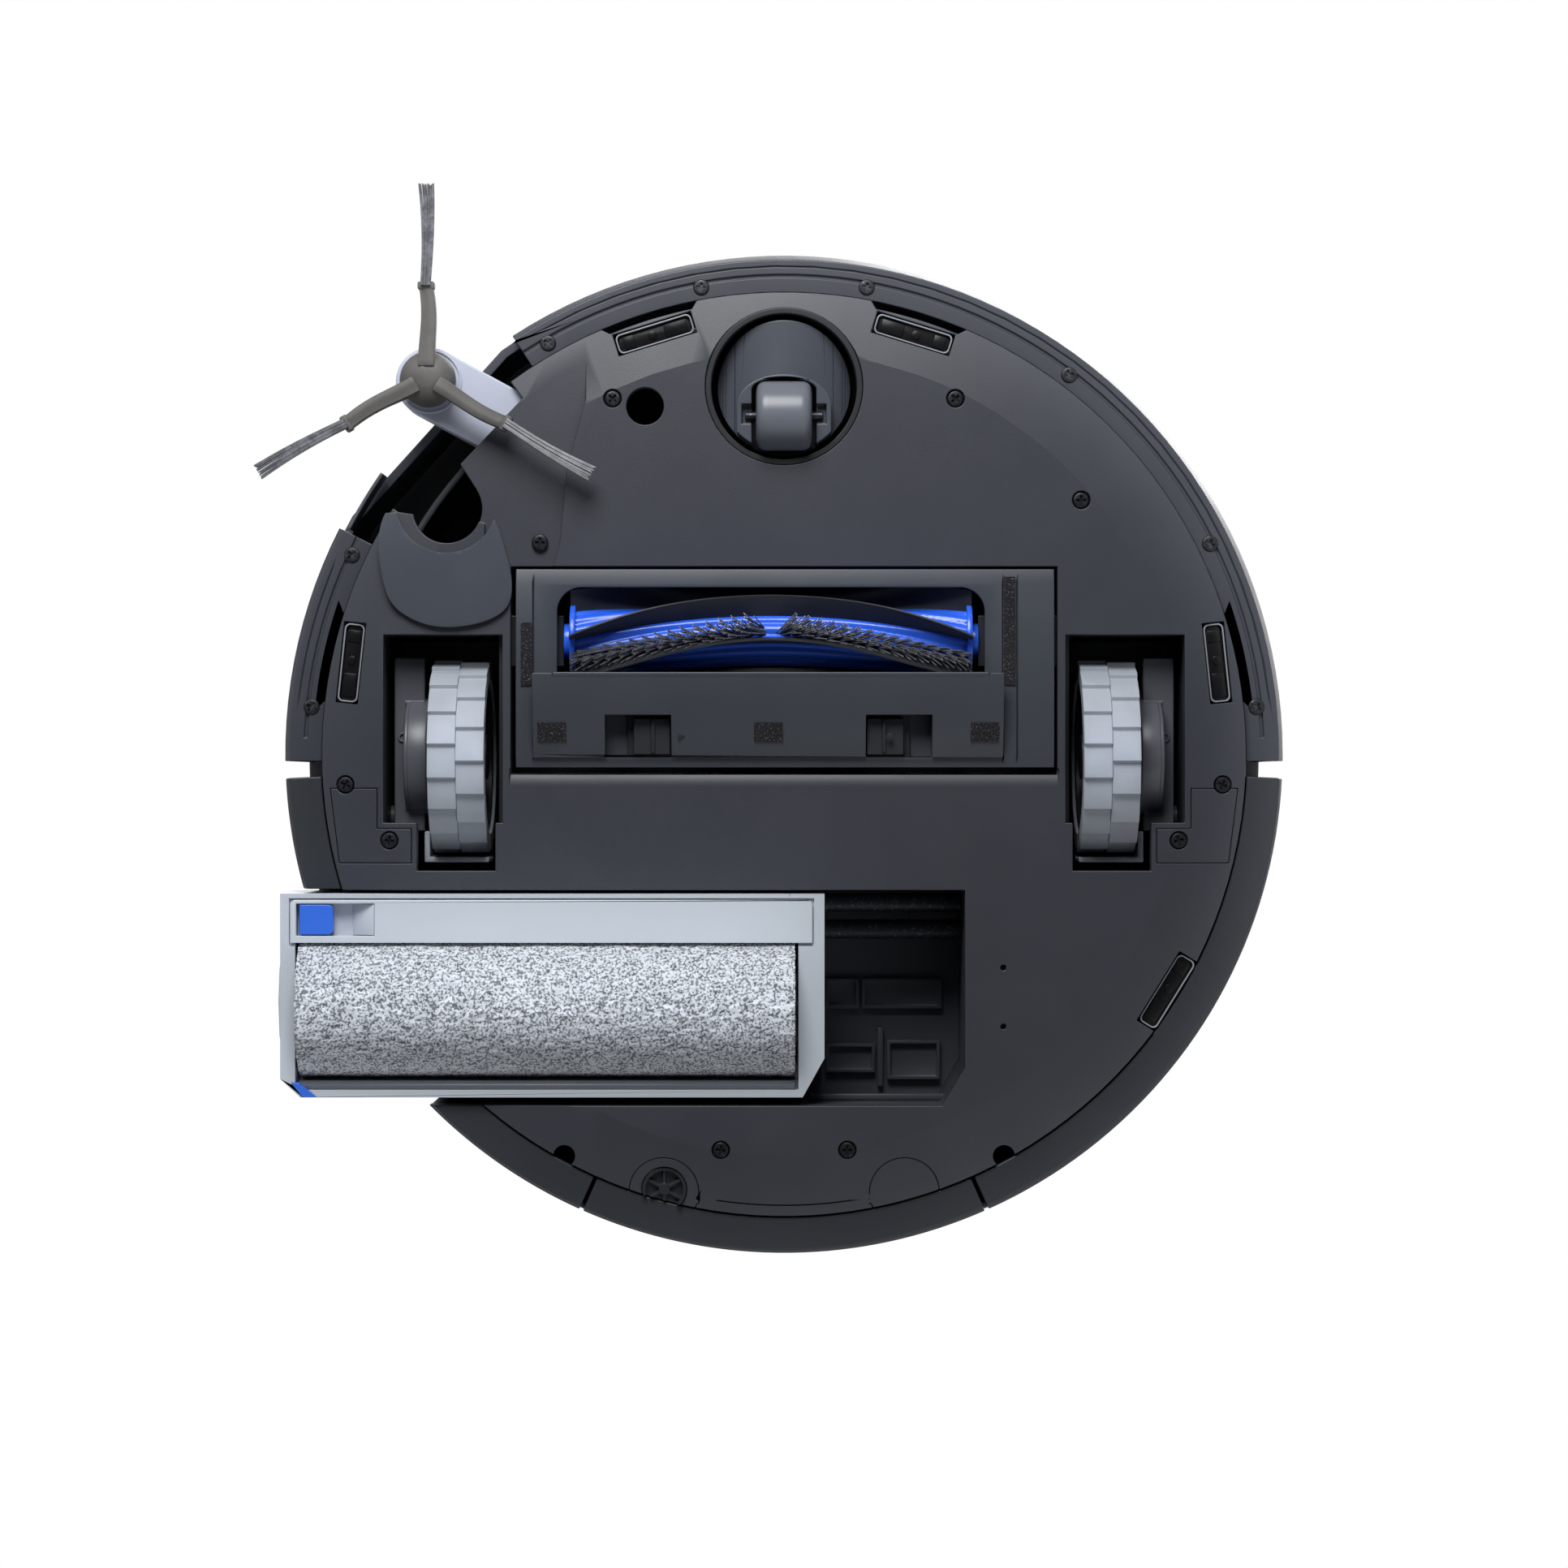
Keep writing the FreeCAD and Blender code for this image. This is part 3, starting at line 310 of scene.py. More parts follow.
# %% A socket that can be added and multiplied
class Wire:
    def __init__(self, finish, socket):
        self.finish = finish
        self.socket = socket

    def math(self, operation, *values):
        return self.finish.add("ShaderNodeMath", {"operation": operation},
                               dict(enumerate(values)))

    def __add__(self, other):
        return self.math("ADD", self, other)

    def __radd__(self, other):
        return self.math("ADD", other, self)

    def __sub__(self, other):
        return self.math("SUBTRACT", self, other)

    def __rsub__(self, other):
        return self.math("SUBTRACT", other, self)

    def __mul__(self, other):
        return self.math("MULTIPLY", self, other)

    def __rmul__(self, other):
        return self.math("MULTIPLY", other, self)

    def power(self, other):
        return self.math("POWER", self, other)

    def most(self, other):
        return self.math("MAXIMUM", self, other)

    def sine(self):
        return self.math("SINE", self)

    def size(self):
        return self.math("ABSOLUTE", self)

    def above(self, limit, blur=0.05):
        """0 below the limit and 1 above it, with a soft step between."""
        return self.finish.add("ShaderNodeMapRange", {"interpolation_type": "SMOOTHSTEP"},
                               {"Value": self, "From Min": limit - blur, "From Max": limit + blur})


# %% [markdown]
# ## One way to make every finish
#
# A finish is a Principled shader with a few fixed values, such as its sheen, set straight on its
# sockets, and a few that change over the surface, which come through wires. One method adds any
# node from its type, its settings and its inputs. Patterns read Object coordinates in metres, so
# a grain of 0.3 mm needs a scale of about 3000, and it stays put when the piece moves.

# %% Finishes
class Finish:
    def __init__(self, name, **fixed):
        self.material = bpy.data.materials.new(name)
        self.material.use_nodes = True
        self.tree = self.material.node_tree
        self.shader = self.tree.nodes["Principled BSDF"]
        for key, value in fixed.items():
            self.shader.inputs[key.replace("_", " ")].default_value = value

    def add(self, kind, settings=None, inputs=None, output=0):
        node = self.tree.nodes.new(kind)
        for key, value in (settings or {}).items():
            if key == "stops":
                ramp = node.color_ramp
                while len(ramp.elements) < len(value):
                    ramp.elements.new(0.5)
                for stop, (place, colour) in zip(ramp.elements, value):
                    stop.position = place
                    stop.color = colour
            else:
                setattr(node, key, value)
        for key, value in (inputs or {}).items():
            self.feed(node.inputs[key], value)
        return Wire(self, node.outputs[output])

    def feed(self, socket, value):
        if isinstance(value, Wire):
            self.tree.links.new(value.socket, socket)
        else:
            socket.default_value = value

    def give(self, name, value):
        self.feed(self.shader.inputs[name], value)

    def place(self, scale=(1, 1, 1), turn=(0, 0, 0), move=(0, 0, 0)):
        where = self.add("ShaderNodeTexCoord", output=3)
        return self.add("ShaderNodeMapping", None, {"Vector": where, "Scale": scale,
                                                    "Rotation": turn, "Location": move})

    def along(self, axis, place=None):
        split = self.add("ShaderNodeSeparateXYZ", None, {"Vector": place or self.place()},
                         output="XYZ".index(axis))
        return split

    def noise(self, scale, detail=2.0, rough=0.5, place=None):
        return self.add("ShaderNodeTexNoise", None,
                        {"Vector": place or self.place(), "Scale": scale, "Detail": detail,
                         "Roughness": rough})

    def cells(self, scale, place=None, feature="F1"):
        return self.add("ShaderNodeTexVoronoi", {"feature": feature},
                        {"Vector": place or self.place(), "Scale": scale})

    def mix(self, factor, first, second):
        return self.add("ShaderNodeMix", {"data_type": "RGBA"},
                        {0: factor, 6: first, 7: second}, output=2)

    def bump(self, height, depth, strength=1.0):
        self.give("Normal", self.add("ShaderNodeBump", None,
                                     {"Height": height, "Distance": depth * MM,
                                      "Strength": strength}))


def colour(code, share=1.0):
    """A colour written as on screen, turned to the linear values that a shader takes."""
    parts = [int(code[i:i + 2], 16) / 255 for i in (0, 2, 4)]
    parts = [p / 12.92 if p <= 0.04045 else ((p + 0.055) / 1.055) ** 2.4 for p in parts]
    return tuple(p * share for p in parts) + (1.0,)


finishes = {}


def wear(piece, slot):
    """Put the finish for one of the record's slots on a piece."""
    piece.data.materials.clear()
    piece.data.materials.append(finishes[slot].material)
    "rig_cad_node" not in piece
    return piece


def dress(piece, finish, slot):
    """Wear a finish of its own, put on in place of the finish for one of the record's slots."""
    wear(piece, slot)
    piece.data.materials[0] = finishes[finish].material
    return piece


# %% [markdown]
# ## Moulded plastic
#
# Nearly every part is moulded plastic, and three things tell one mould from another: how shiny it
# is, how coarse its spark-eroded grain is, and how clean it has stayed. The base colour wanders a
# little, handling leaves slightly smoother patches, and the grain is a real bump a few hundredths
# of a millimetre high.

# %% Moulded plastics
def plastic(slot, code, share=1.0, rough=0.5, grain=2400, depth=0.02, drift=0.10, coat=0.0,
            level=0.4):
    finish = Finish(slot, Specular_IOR_Level=level, Coat_Roughness=0.2)
    base = colour(code, share)
    dim = tuple(c * (1 - drift) for c in base[:3]) + (1.0,)
    lit = tuple(min(1.0, c * (1 + drift)) for c in base[:3]) + (1.0,)
    cloud = finish.noise(38, 3)
    fine = finish.noise(grain, 2, 0.6)
    finish.give("Base Color", finish.mix(cloud * 0.7 + fine * 0.3, dim, lit))
    finish.give("Roughness", cloud * 0.14 + fine * 0.06 + (rough - 0.10))
    if coat:
        finish.shader.inputs["Coat Weight"].default_value = coat
    finish.bump(fine, depth)
    finishes[slot] = finish
    return finish


plastic("base_plastic", "363940", rough=0.44, grain=2600, depth=0.035, drift=0.08)
plastic("dark_plastic", "222428", rough=0.42, grain=2200, depth=0.02)
plastic("shell_plastic", "33363c", rough=0.42, grain=2600, depth=0.015)
plastic("skirt_plastic", "2c2f34", rough=0.36, grain=2600, depth=0.015)
plastic("bumper_plastic", "35383f", rough=0.34, grain=2600, depth=0.012)
plastic("drive_plastic", "50535a", rough=0.36, grain=1800, depth=0.008)
plastic("cover_plastic", "3e4249", rough=0.34, grain=2600, depth=0.02)
plastic("latch_plastic", "2a2c31", rough=0.34, grain=2400, depth=0.01)
plastic("arm_plastic", "a4a9b8", rough=0.44, grain=2200, depth=0.015, drift=0.03)
plastic("mop_plastic", "b4bac2", rough=0.42, grain=2200, depth=0.012, drift=0.03)
plastic("mop_cover_plastic", "bac1c8", rough=0.38, grain=2200, depth=0.010, drift=0.03)
plastic("blue_plastic", "2f66cf", rough=0.30, grain=2000, depth=0.006, drift=0.05, coat=0.3)
plastic("brush_blue", "2c62e0", rough=0.20, grain=1600, depth=0.004, drift=0.06, coat=0.6)
plastic("lid_plastic", "44484f", rough=0.34, grain=2600, depth=0.010, drift=0.05)
plastic("bin_plastic", "3b3f45", rough=0.22, grain=1600, depth=0.004, coat=0.4)
plastic("power_gloss", "4c5058", rough=0.26, grain=1800, depth=0.004)
plastic("tank_plastic", "6a6f76", rough=0.20, grain=1600, depth=0.004, coat=0.4)
plastic("caster_gloss", "62666e", rough=0.30, grain=1400, depth=0.006, drift=0.06)
plastic("window_gloss", "101113", rough=0.10, grain=1200, depth=0.001, coat=0.8, level=0.5)
plastic("sensor_black", "0c0c0e", rough=0.20, grain=1600, depth=0.003, coat=0.4)
plastic("swelling_gloss", "43474f", rough=0.30, grain=2400, depth=0.008, coat=0.15)
plastic("fork_satin", "484c54", rough=0.32, grain=2000, depth=0.006)
# Painted highlight: an opaque pale grey for the cliff sensors' clear frames, standing in for their glints.
plastic("window_frame", "84898f", rough=0.12, grain=1500, depth=0.002, coat=0.6)
plastic("bay_plastic", "3c3e45", rough=0.38, grain=2200, depth=0.01)
plastic("battery_wrap", "202022", rough=0.36, grain=1500, depth=0.01)
print(len(finishes), "plastic finishes")

# %% [markdown]
# ## Rubber
#
# Rubber is duller than plastic and picks up pale dust on its raised parts. It has almost no
# highlight of its own, so its roughness is high, and its grain is coarser and deeper.

# %% Rubbers
def rubber(slot, code, share=1.0, rough=0.68, dust="8d9096", dusty=0.18, depth=0.05):
    finish = Finish(slot, Specular_IOR_Level=0.32)
    base = colour(code, share)
    patches = finish.noise(90, 4, 0.6)
    fine = finish.noise(1900, 3, 0.6)
    finish.give("Base Color", finish.mix((patches * 1.6 + (-0.55)).most(0.0) * dusty,
                                         base, colour(dust)))
    finish.give("Roughness", fine * 0.16 + patches * 0.10 + (rough - 0.13))
    finish.bump(fine * 0.7 + patches * 0.3, depth)
    finishes[slot] = finish
    return finish


rubber("grey_tyre", "9aa0a9", rough=0.62, dust="c6c9cd", dusty=0.25)
rubber("grey_rubber", "a6acb5", rough=0.60, dust="c6c9cd")
rubber("blade_rubber", "26282c", rough=0.50, dust="50545a", dusty=0.2, depth=0.03)
rubber("taupe_rubber", "504f4e", rough=0.56, dust="96938e", dusty=0.2)
print("rubbers ready")

# %% [markdown]
# ## Felt, microfibre and nylon
#
# The felt pads are needle felt: black fibres with a few pale ones that stand up as specks. The
# roller's microfibre is the reverse, a pale looped pile with darker shadows between its loops.
# Nylon strands are plain and slightly glossy, and pale at their tips. A noise pattern cut off at a
# level gives specks and loops of a true size, and a finer noise breaks their edges.

# %% Cloth finishes
def felt(slot, code, speck):
    finish = Finish(slot, Specular_IOR_Level=0.15, Sheen_Weight=0.25)
    fibres = finish.noise(2400, 4, 0.7)
    specks = finish.noise(1700, 2, 0.5).above(0.62, 0.03)
    finish.give("Base Color", finish.mix(specks * 0.5, colour(code), colour(speck)))
    finish.give("Roughness", fibres * 0.15 + 0.8)
    finish.bump(fibres, 0.15)
    finishes[slot] = finish


def microfibre(slot, pale, shade, cloth):
    """Pale on top of the pile, with painted shade at its foot and in the spaces between loops, from the distance to
    the roller's axis.
    """
    low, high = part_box(cloth)
    middle = (low + high) / 2
    finish = Finish(slot, Specular_IOR_Level=0.15, Sheen_Weight=0.2)
    # Painted shade: the colour darkens towards the shade colour below the top of the pile and in noise spots between
    # the loops.
    across, up = finish.along("Y") - middle.y, finish.along("Z") - middle.z
    foot = (across * across + up * up).power(0.5) - (high.z - low.z) / 2
    fibres = finish.noise(2600, 3, 0.7)
    painted_shade_gaps = finish.noise(1150, 1, 0.4).above(0.53, 0.06)
    finish.give("Base Color", finish.mix((foot * (-500) + painted_shade_gaps * 0.62 + fibres * 0.1).most(0.0),
                                         colour(pale), colour(shade)))
    finish.give("Roughness", fibres * 0.1 + 0.85)
    finish.bump(fibres, 0.2)
    finishes[slot] = finish


def nylon(slot, code, tip):
    finish = Finish(slot, Specular_IOR_Level=0.5)
    strands = finish.noise(300, 3, 0.6)
    finish.give("Base Color", finish.mix(strands.above(0.55, 0.2), colour(code), colour(tip)))
    finish.give("Roughness", strands * 0.2 + 0.34)
    finish.bump(finish.noise(3000, 2), 0.01)
    finishes[slot] = finish


felt("black_felt", "1d1c20", "6a6c72")
felt("speckled_felt", "1d1c20", "6a6c72")
microfibre("mop_microfibre", "dce0e6", "4c5058", "mop_fabric")
nylon("bristle_grey", "55565b", "7a7b81")
print("cloth ready")

# %% [markdown]
# ## Coated steel, clear windows and the circuit board
#
# The screws and rods are steel with a black oxide, which is a metal under a thin dark skin and
# rubs bright in places. The cliff sensors look out through clear windows, and the board shows
# green lacquer over its copper traces.

# %% Metal, glass and board
def coated_steel(slot, code, bright):
    finish = Finish(slot, Specular_IOR_Level=0.5)
    rubbed = finish.noise(700, 4, 0.6).above(0.62, 0.08)
    finish.give("Base Color", finish.mix(rubbed * 0.35, colour(code), colour(bright)))
    finish.give("Metallic", rubbed * 0.25 + 0.7)
    finish.give("Roughness", finish.noise(1500, 2) * 0.2 + 0.3)
    finish.bump(finish.noise(1800, 3), 0.006)
    finishes[slot] = finish


def clear_window(slot):
    finish = Finish(slot, Specular_IOR_Level=0.6, IOR=1.49)
    smear = finish.noise(420, 3, 0.6)
    finish.give("Base Color", finish.mix(smear, colour("8e949b"), colour("b4bac2")))
    finish.give("Roughness", smear * 0.10 + 0.05)
    finish.give("Alpha", smear * 0.10 + 0.22)
    finish.bump(smear, 0.004)
    finishes[slot] = finish


def board(slot):
    finish = Finish(slot, Specular_IOR_Level=0.5)
    traces = finish.cells(420, feature="DISTANCE_TO_EDGE").above(0.06, 0.01)
    finish.give("Base Color", finish.mix(traces, colour("3f8f54"), colour("14502a")))
    finish.give("Roughness", traces * 0.1 + 0.28)
    finish.bump(traces, 0.02)
    finishes[slot] = finish


coated_steel("black_screws", "2b2c30", "7d8087")
coated_steel("black_steel", "303237", "84888f")
clear_window("sensor_glass")
board("board_green")
print(sorted({row["material_slot"] for row in record["subparts"]} - set(finishes)), "still bare")

# %% [markdown]
# ## Every frame node gets its finish
#
# Before any new piece is made, each node of the frame puts on the finish that the record names
# for it. The nodes that are right as they are keep it, and the others are hidden later by the
# piece that stands for them.

# %% Dress the frame
for name, thing in nodes.items():
    wear(thing, slot_of[name])
print("dressed", len(nodes), "nodes")

# %% [markdown]
# ## The mouldings
#
# The base plate, the shell, the skirts and the covers are all injection mouldings, so they get
# the same treatment: weld, round, smooth. The radius differs with the size of the part: half a
# millimetre on the big plates, less on small clips.

# %% Soften the plain mouldings
RADII = {
    "wheel_cover_left": 0.4, "wheel_cover_right": 0.4, "rear_cover_left": 0.4,
    "rear_cover_right": 0.4, "rear_port_grille": 0.25, "upper_shell": 0.8,
    "skirt_left": 0.6, "skirt_right": 0.6, "skirt_rear": 0.6, "skirt_rear_left": 0.6,
    "caster_cup": 0.4, "wheel_tub_left": 0.4, "wheel_tub_right": 0.4,
    "wheel_guard_left": 0.5, "wheel_guard_right": 0.5, "arm_housing": 0.7,
    "mop_corner_tab": 0.35, "top_lid": 0.9,
    "dust_bin": 0.8, "power_button": 0.6, "water_tank": 1.2, "battery_pack": 1.2,
    "blower": 1.0, "front_window": 0.4,
}
for name, radius in RADII.items():
    rim = name.startswith("skirt") or name == "top_lid"
    stand_for(soften(welded(name), radius, angle=20 if rim else 32), name)
print("softened", len(RADII), "mouldings")

# %% [markdown]
# ## The base plate
#
# The base plate is one large moulding that carries everything. Its rim slopes up from a soft
# crease, two thin crescent slots let the bumper move past it at the front and two more at the
# sides, and the side brush swings over a shallow recess whose edge is a soft step. The slots are
# cut from the softened copy with curved tools, as a mill would.

# %% Flat outlines, drawn and given a height
def outlined(name, points, low, high, curved=False):
    """A closed outline in X and Y, filled and raised from one height to another."""
    curve = bpy.data.curves.new(name, "CURVE")
    curve.dimensions = "2D"
    curve.fill_mode = "BOTH"
    curve.extrude = (high - low) / 2 * MM
    curve.resolution_u = 6
    line = curve.splines.new("NURBS" if curved else "POLY")
    line.points.add(len(points) - 1)
    for point, (x, y) in zip(line.points, points):
        point.co = (x * MM, y * MM, 0, 1)
    line.use_cyclic_u = True
    if curved:
        line.order_u = 3
    piece = bpy.data.objects.new(name, curve)
    bpy.context.scene.collection.objects.link(piece)
    piece.location.z = (low + high) / 2 * MM
    only(piece)
    bpy.ops.object.convert(target="MESH")
    return tidy_mesh(set_down(bpy.context.object, name))


def side_outlined(name, points, left, right, curved=False):
    """The same, for an outline in Y and Z that runs across the machine along X."""
    piece = outlined(name, points, left, right, curved)
    piece.matrix_world = Matrix(((0, 0, 1, 0), (1, 0, 0, 0), (0, 1, 0, 0), (0, 0, 0, 1)))
    return set_down(piece, name)


def arc(radius, start, end, steps=24, centre=(0, 0)):
    turns = [math.radians(start + (end - start) * i / steps) for i in range(steps + 1)]
    return [(centre[0] + radius * math.cos(t), centre[1] + radius * math.sin(t)) for t in turns]


def rim_slot(start, end, inner, outer, low, high):
    """A slot along the rim whose two ends run out in a short taper."""
    ends = 1.1
    near = arc(inner, start + ends, end - ends)
    far = arc(outer, end, start)
    return outlined("slot_cutter", near + far, low, high)


# %% The base plate
plate = welded("base_plate")
for start, end in ((-113.6, -100.6), (-79.4, -66.4)):
    carve(plate, rim_slot(start, end, 158.4, 162, 10, 20))
carve(plate, side_outlined("lip_cutter", [(5, 11), (11.5, 11.98), (6.7, 14.4), (5, 14.4)],
                           -95.4, 95.4))
for start, end in ((80.6, 99.4),):
    carve(plate, rim_slot(start, end, 157.0, 157.4, 10, 16.4))
soften(plate, 0.35, crease=lambda middle, way: middle.z < 12.05
       and abs(math.hypot(middle.x, middle.y) - 139.6) < 0.5 and abs(way.z) < 0.01)
stand_for(plate, "base_plate")
print("the plate has", len(plate.data.polygons), "faces")

# %% [markdown]
# ## The swelling beside the side brush
#
# Between the side brush's resting place and the left wheel the plate swells into a shallow
# cushion, which leaves room for the swing arm's motor inside. It is a slice of a flattened ball,
# cut to its outline, with the arm's resting place and a flat band around it taken out again.

# %% The swelling
swelling = ball("swelling", (34, 38, 3.9), (-116, -62, 13.2), 96)
carve(swelling, outlined("swelling_edge", [
    (-137, -88), (-141.5, -76), (-139.5, -60), (-136, -51), (-127, -45.5), (-117, -43.6),
    (-104, -45.5), (-95.3, -50.5), (-94, -60), (-97, -72), (-101, -84), (-118, -96)],
    5, 13, curved=True), operation="INTERSECT")
carve(swelling, drum("resting_place", 17.6, (-117.2, -87.4, 10), 20, sides=96))
carve(swelling, outlined("arm_side", [(-150, -83), (-134, -84), (-117, -87), (-99, -86),
                                      (-99, -110), (-150, -110)], 5, 20))
round_over(swelling, 0.7, 3, 40)
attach(swelling, "chassis")
dress(swelling, "swelling_gloss", "skirt_plastic")
print("swelling", len(swelling.data.polygons), "faces")

# %% [markdown]
# ## The tyres
#
# Each tyre is a light rubber ring with two rows of sawtooth lugs, one row half a tooth on from
# the other, so that one of them always bites on a carpet's edge. A row is drawn as a ratchet
# wheel and given its width. Two rows, the second turned by half a tooth, make the tyre, and a
# bore takes out the middle, where the rim shows.

# %% Lugged tyres
TEETH = 18


def ratchet(name, centre_y, centre_z, radius, left, right, turn):
    points = []
    pitch = 360 / TEETH
    for tooth in range(TEETH):
        for share, rise in ((0.0, -1.5), (0.3, -1.05), (0.62, -0.5), (0.94, 0.0), (0.985, -1.5)):
            angle = math.radians(turn + pitch * (tooth + share))
            points.append((centre_y + (radius + rise) * math.cos(angle),
                           centre_z + (radius + rise) * math.sin(angle)))
    return side_outlined(name, points, left, right)


def lugged_tyre(side):
    low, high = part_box("tyre_" + side)
    low, high = low / MM, high / MM
    centre_y, centre_z = (low.y + high.y) / 2, (low.z + high.z) / 2
    radius = (high.y - low.y) / 2
    middle = (low.x + high.x) / 2
    bore = (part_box("wheel_rim_" + side)[1].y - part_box("wheel_rim_" + side)[0].y) / 2 / MM
    rows = []
    for number, (left, right) in enumerate(((low.x, middle + 0.01), (middle - 0.01, high.x))):
        row = ratchet("tread_row", centre_y, centre_z, radius - 0.02, left, right,
                      number * 180 / TEETH + 4)
        carve(row, drum("rim_seat", bore, (middle, centre_y, centre_z), 40, "X", 96))
        rows.append(soften(row, 0.28, 2, 25))
    tyre = join("lugged_tyre_" + side, *rows)
    return stand_for(tyre, "tyre_" + side)


for side in ("left", "right"):
    print(lugged_tyre(side).name, "made")

# %% [markdown]
# ## The drive units
#
# Beside each tyre sits the gearbox: a satin drum that turns with the arm, a case behind it, a
# shaft across the well and small bolts. The drum is a lathe shape with a rolled edge; its end
# faces are inset, and the inset ring stays flush, so no groove is cut.

# %% Gearbox drums, shafts and bolts
def gearbox(side):
    sign = -1 if side == "left" else 1
    low, high = (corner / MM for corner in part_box("drive_unit_" + side))
    pieces = [soften(welded("drive_unit_" + side), 0.8, 3)]
    tyre_low, tyre_high = (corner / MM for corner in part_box("tyre_" + side))
    near = tyre_high.x + 1.2 if sign > 0 else tyre_low.x - 1.2
    band = drum("drum_band", 20.4, (near + sign * 3.6, 0.8, 34), 7.0, "X", 128)
    pick(band, lambda centre, normal: abs(normal.x) > 0.9)
    bpy.ops.mesh.inset(thickness=2.2 * MM)
    bpy.ops.transform.translate(value=(0, 0, 0))
    settle()
    pieces.append(round_over(band, 0.6, 3))
    for y, z, radius in ((-24, 31, 2.6), (19, 31, 2.6), (-6, 29, 1.8)):
        bolt = drum("bolt", radius, (near + sign * 9.5, y, z), 3.4, "Z", 32)
        pick(bolt, lambda centre, normal: normal.z < -0.9)
        bpy.ops.mesh.inset(thickness=0.8 * MM)
        bpy.ops.mesh.extrude_region_move(TRANSFORM_OT_translate={"value": (0, 0, 1.2 * MM)})
        pieces.append(round_over(bolt, 0.25))
    unit = join("gearbox_" + side, *pieces)
    return stand_for(unit, "drive_unit_" + side)


for side in ("left", "right"):
    print(gearbox(side).name, "made")

# %% [markdown]
# ## The caster
#
# The caster's fork is a round dome, curved like a saddle from side to side, with a raised arch
# that carries the wheel on a short pin. The wheel itself is a barrel, so that it rolls over a
# carpet's pile without digging in.

# %% Fork and barrel wheel
def caster():
    low, high = (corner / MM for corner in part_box("caster_swivel"))
    centre_y = (low.y + high.y) / 2
    radius = (high.x - low.x) / 2
    fork = drum("fork", radius, (0, centre_y, 25), 22, sides=128)
    carve(fork, drum("saddle", 33, (0, centre_y, 14.6 + 33), 60, "Y", 160),
          operation="INTERSECT")
    arch = outlined("arch", arc(16.4, 0, -180, 32, (0, -121)) + [(-16.4, -104), (16.4, -104)],
                    9.4, 30)
    for point in arch.data.vertices:
        if point.co.y < -0.121:
            point.co.y = -0.121 + (point.co.y + 0.121) * 0.66
    carve(arch, drum("fork_edge", radius - 0.3, (0, centre_y, 20), 40, sides=128),
          operation="INTERSECT")
    carve(fork, arch, operation="UNION")
    slot = outlined("slot", [(11.2, -104), (11.2, -126.5)] + arc(11.2, 0, -180, 20, (0, -126.5))
                    + [(-11.2, -104)], 5, 27)
    for point in slot.data.vertices:
        if point.co.y < -0.1266:
            point.co.y = -0.1265 + (point.co.y + 0.1265) * 0.36
    carve(fork, slot)
    carve(fork, block("pin_seat", (-14.7, -121.4, 5), (14.7, -114.6, 12.6)))
    soften(fork, 0.45, 3)
    stem = drum("stem", 6, (0, centre_y, 37), 8)
    whole = stand_for(join("caster_fork", fork, round_over(stem, 0.4)), "caster_swivel")
    dress(whole, "fork_satin", slot_of["caster_swivel"])

    low, high = (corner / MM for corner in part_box("caster_wheel"))
    centre = (low + high) / 2
    wheel = drum("barrel", (high.z - low.z) / 2, centre, high.x - low.x, "X", 96)
    finish_with(wheel, "BEVEL", width=4.4 * MM, segments=10, limit_method="ANGLE",
                angle_limit=math.radians(60), profile=0.62)
    pick(wheel, lambda middle, normal: abs(normal.x) > 0.99)
    bpy.ops.mesh.inset(thickness=1.6 * MM)
    settle()
    smooth(wheel, 50)
    stand_for(wheel, "caster_wheel")
    return wheel


print(caster().name, "made")

# %% [markdown]
# ## Screws
#
# A pan-head screw is a disc with a soft dome and a cross cut into it. One is made, and a copy goes
# wherever the frame holds a screw. The places come from the frame's own screw nodes, by taking
# each loose solid's middle.

# %% Cross-head screws
def loose_parts(node):
    """The lowest and highest corner of each separate solid in a node, in millimetres."""
    piece = welded(node)
    only(piece)
    bpy.ops.mesh.separate(type="LOOSE")
    found = []
    for part in list(bpy.context.selected_objects):
        spots = [point.co / MM for point in part.data.vertices]
        low = Vector([min(spot[i] for spot in spots) for i in range(3)])
        high = Vector([max(spot[i] for spot in spots) for i in range(3)])
        found.append((low, high, spots))
        bpy.data.objects.remove(part)
    return found


def screw_head():
    head = drum("screw", 2.9, (0, 0, 0.95), 1.9, sides=40)
    round_over(head, 0.7, 3)
    for turn in (0, 90):
        cutter = block("cross", (-1.7, -0.42, -0.4), (1.7, 0.42, 1.0))
        cutter.rotation_euler.z = math.radians(turn)
        carve(head, set_down(cutter, "cross"))
    return smooth(head)


pattern = screw_head()
for node in ("base_screws", "bumper_screws"):
    heads = []
    for low, high, spots in loose_parts(node):
        middle = (low + high) / 2
        heads.append(copy_of(pattern, "screw", (middle.x, middle.y, low.z), random.Random(
            int(1000 * (middle.x + 400))).uniform(0, 90)))
    stand_for(join("cross_" + node, *heads), node)
    print(len(heads), "heads for", node)
bpy.data.objects.remove(pattern)

# %% [markdown]
# ## Bending a straight piece
#
# The main brush's blades and flutes wind around its shaft. The easy way to make one is to model
# it straight, cut it into short lengths and then move every point by one rule, as if it were
# wrapped around the shaft by hand. This helper applies such a rule to a mesh.

# %% Moving points by a rule
def reshape(piece, rule):
    for point in piece.data.vertices:
        point.co = Vector(rule(point.co / MM)) * MM
    piece.data.update()
    return piece


def cut_lengthwise(piece, cuts, axis=0):
    """Divide the long edges that run along one axis."""
    pick(piece, lambda middle, way: abs(way[axis]) > 0.9, "EDGE")
    bpy.ops.mesh.subdivide(number_cuts=cuts)
    settle()
    return piece


# %% [markdown]
# ## The main brush
#
# Two halves wind in opposite directions and meet in the middle, so that hair and crumbs are
# swept to the centre, where the suction duct is. The blue shaft has rounded flutes, the black
# blades are thin rubber fins, and rows of short nylon tufts stand between them. Everything
# follows the same twist, a little softer at the centre for the blades than for the tufts.

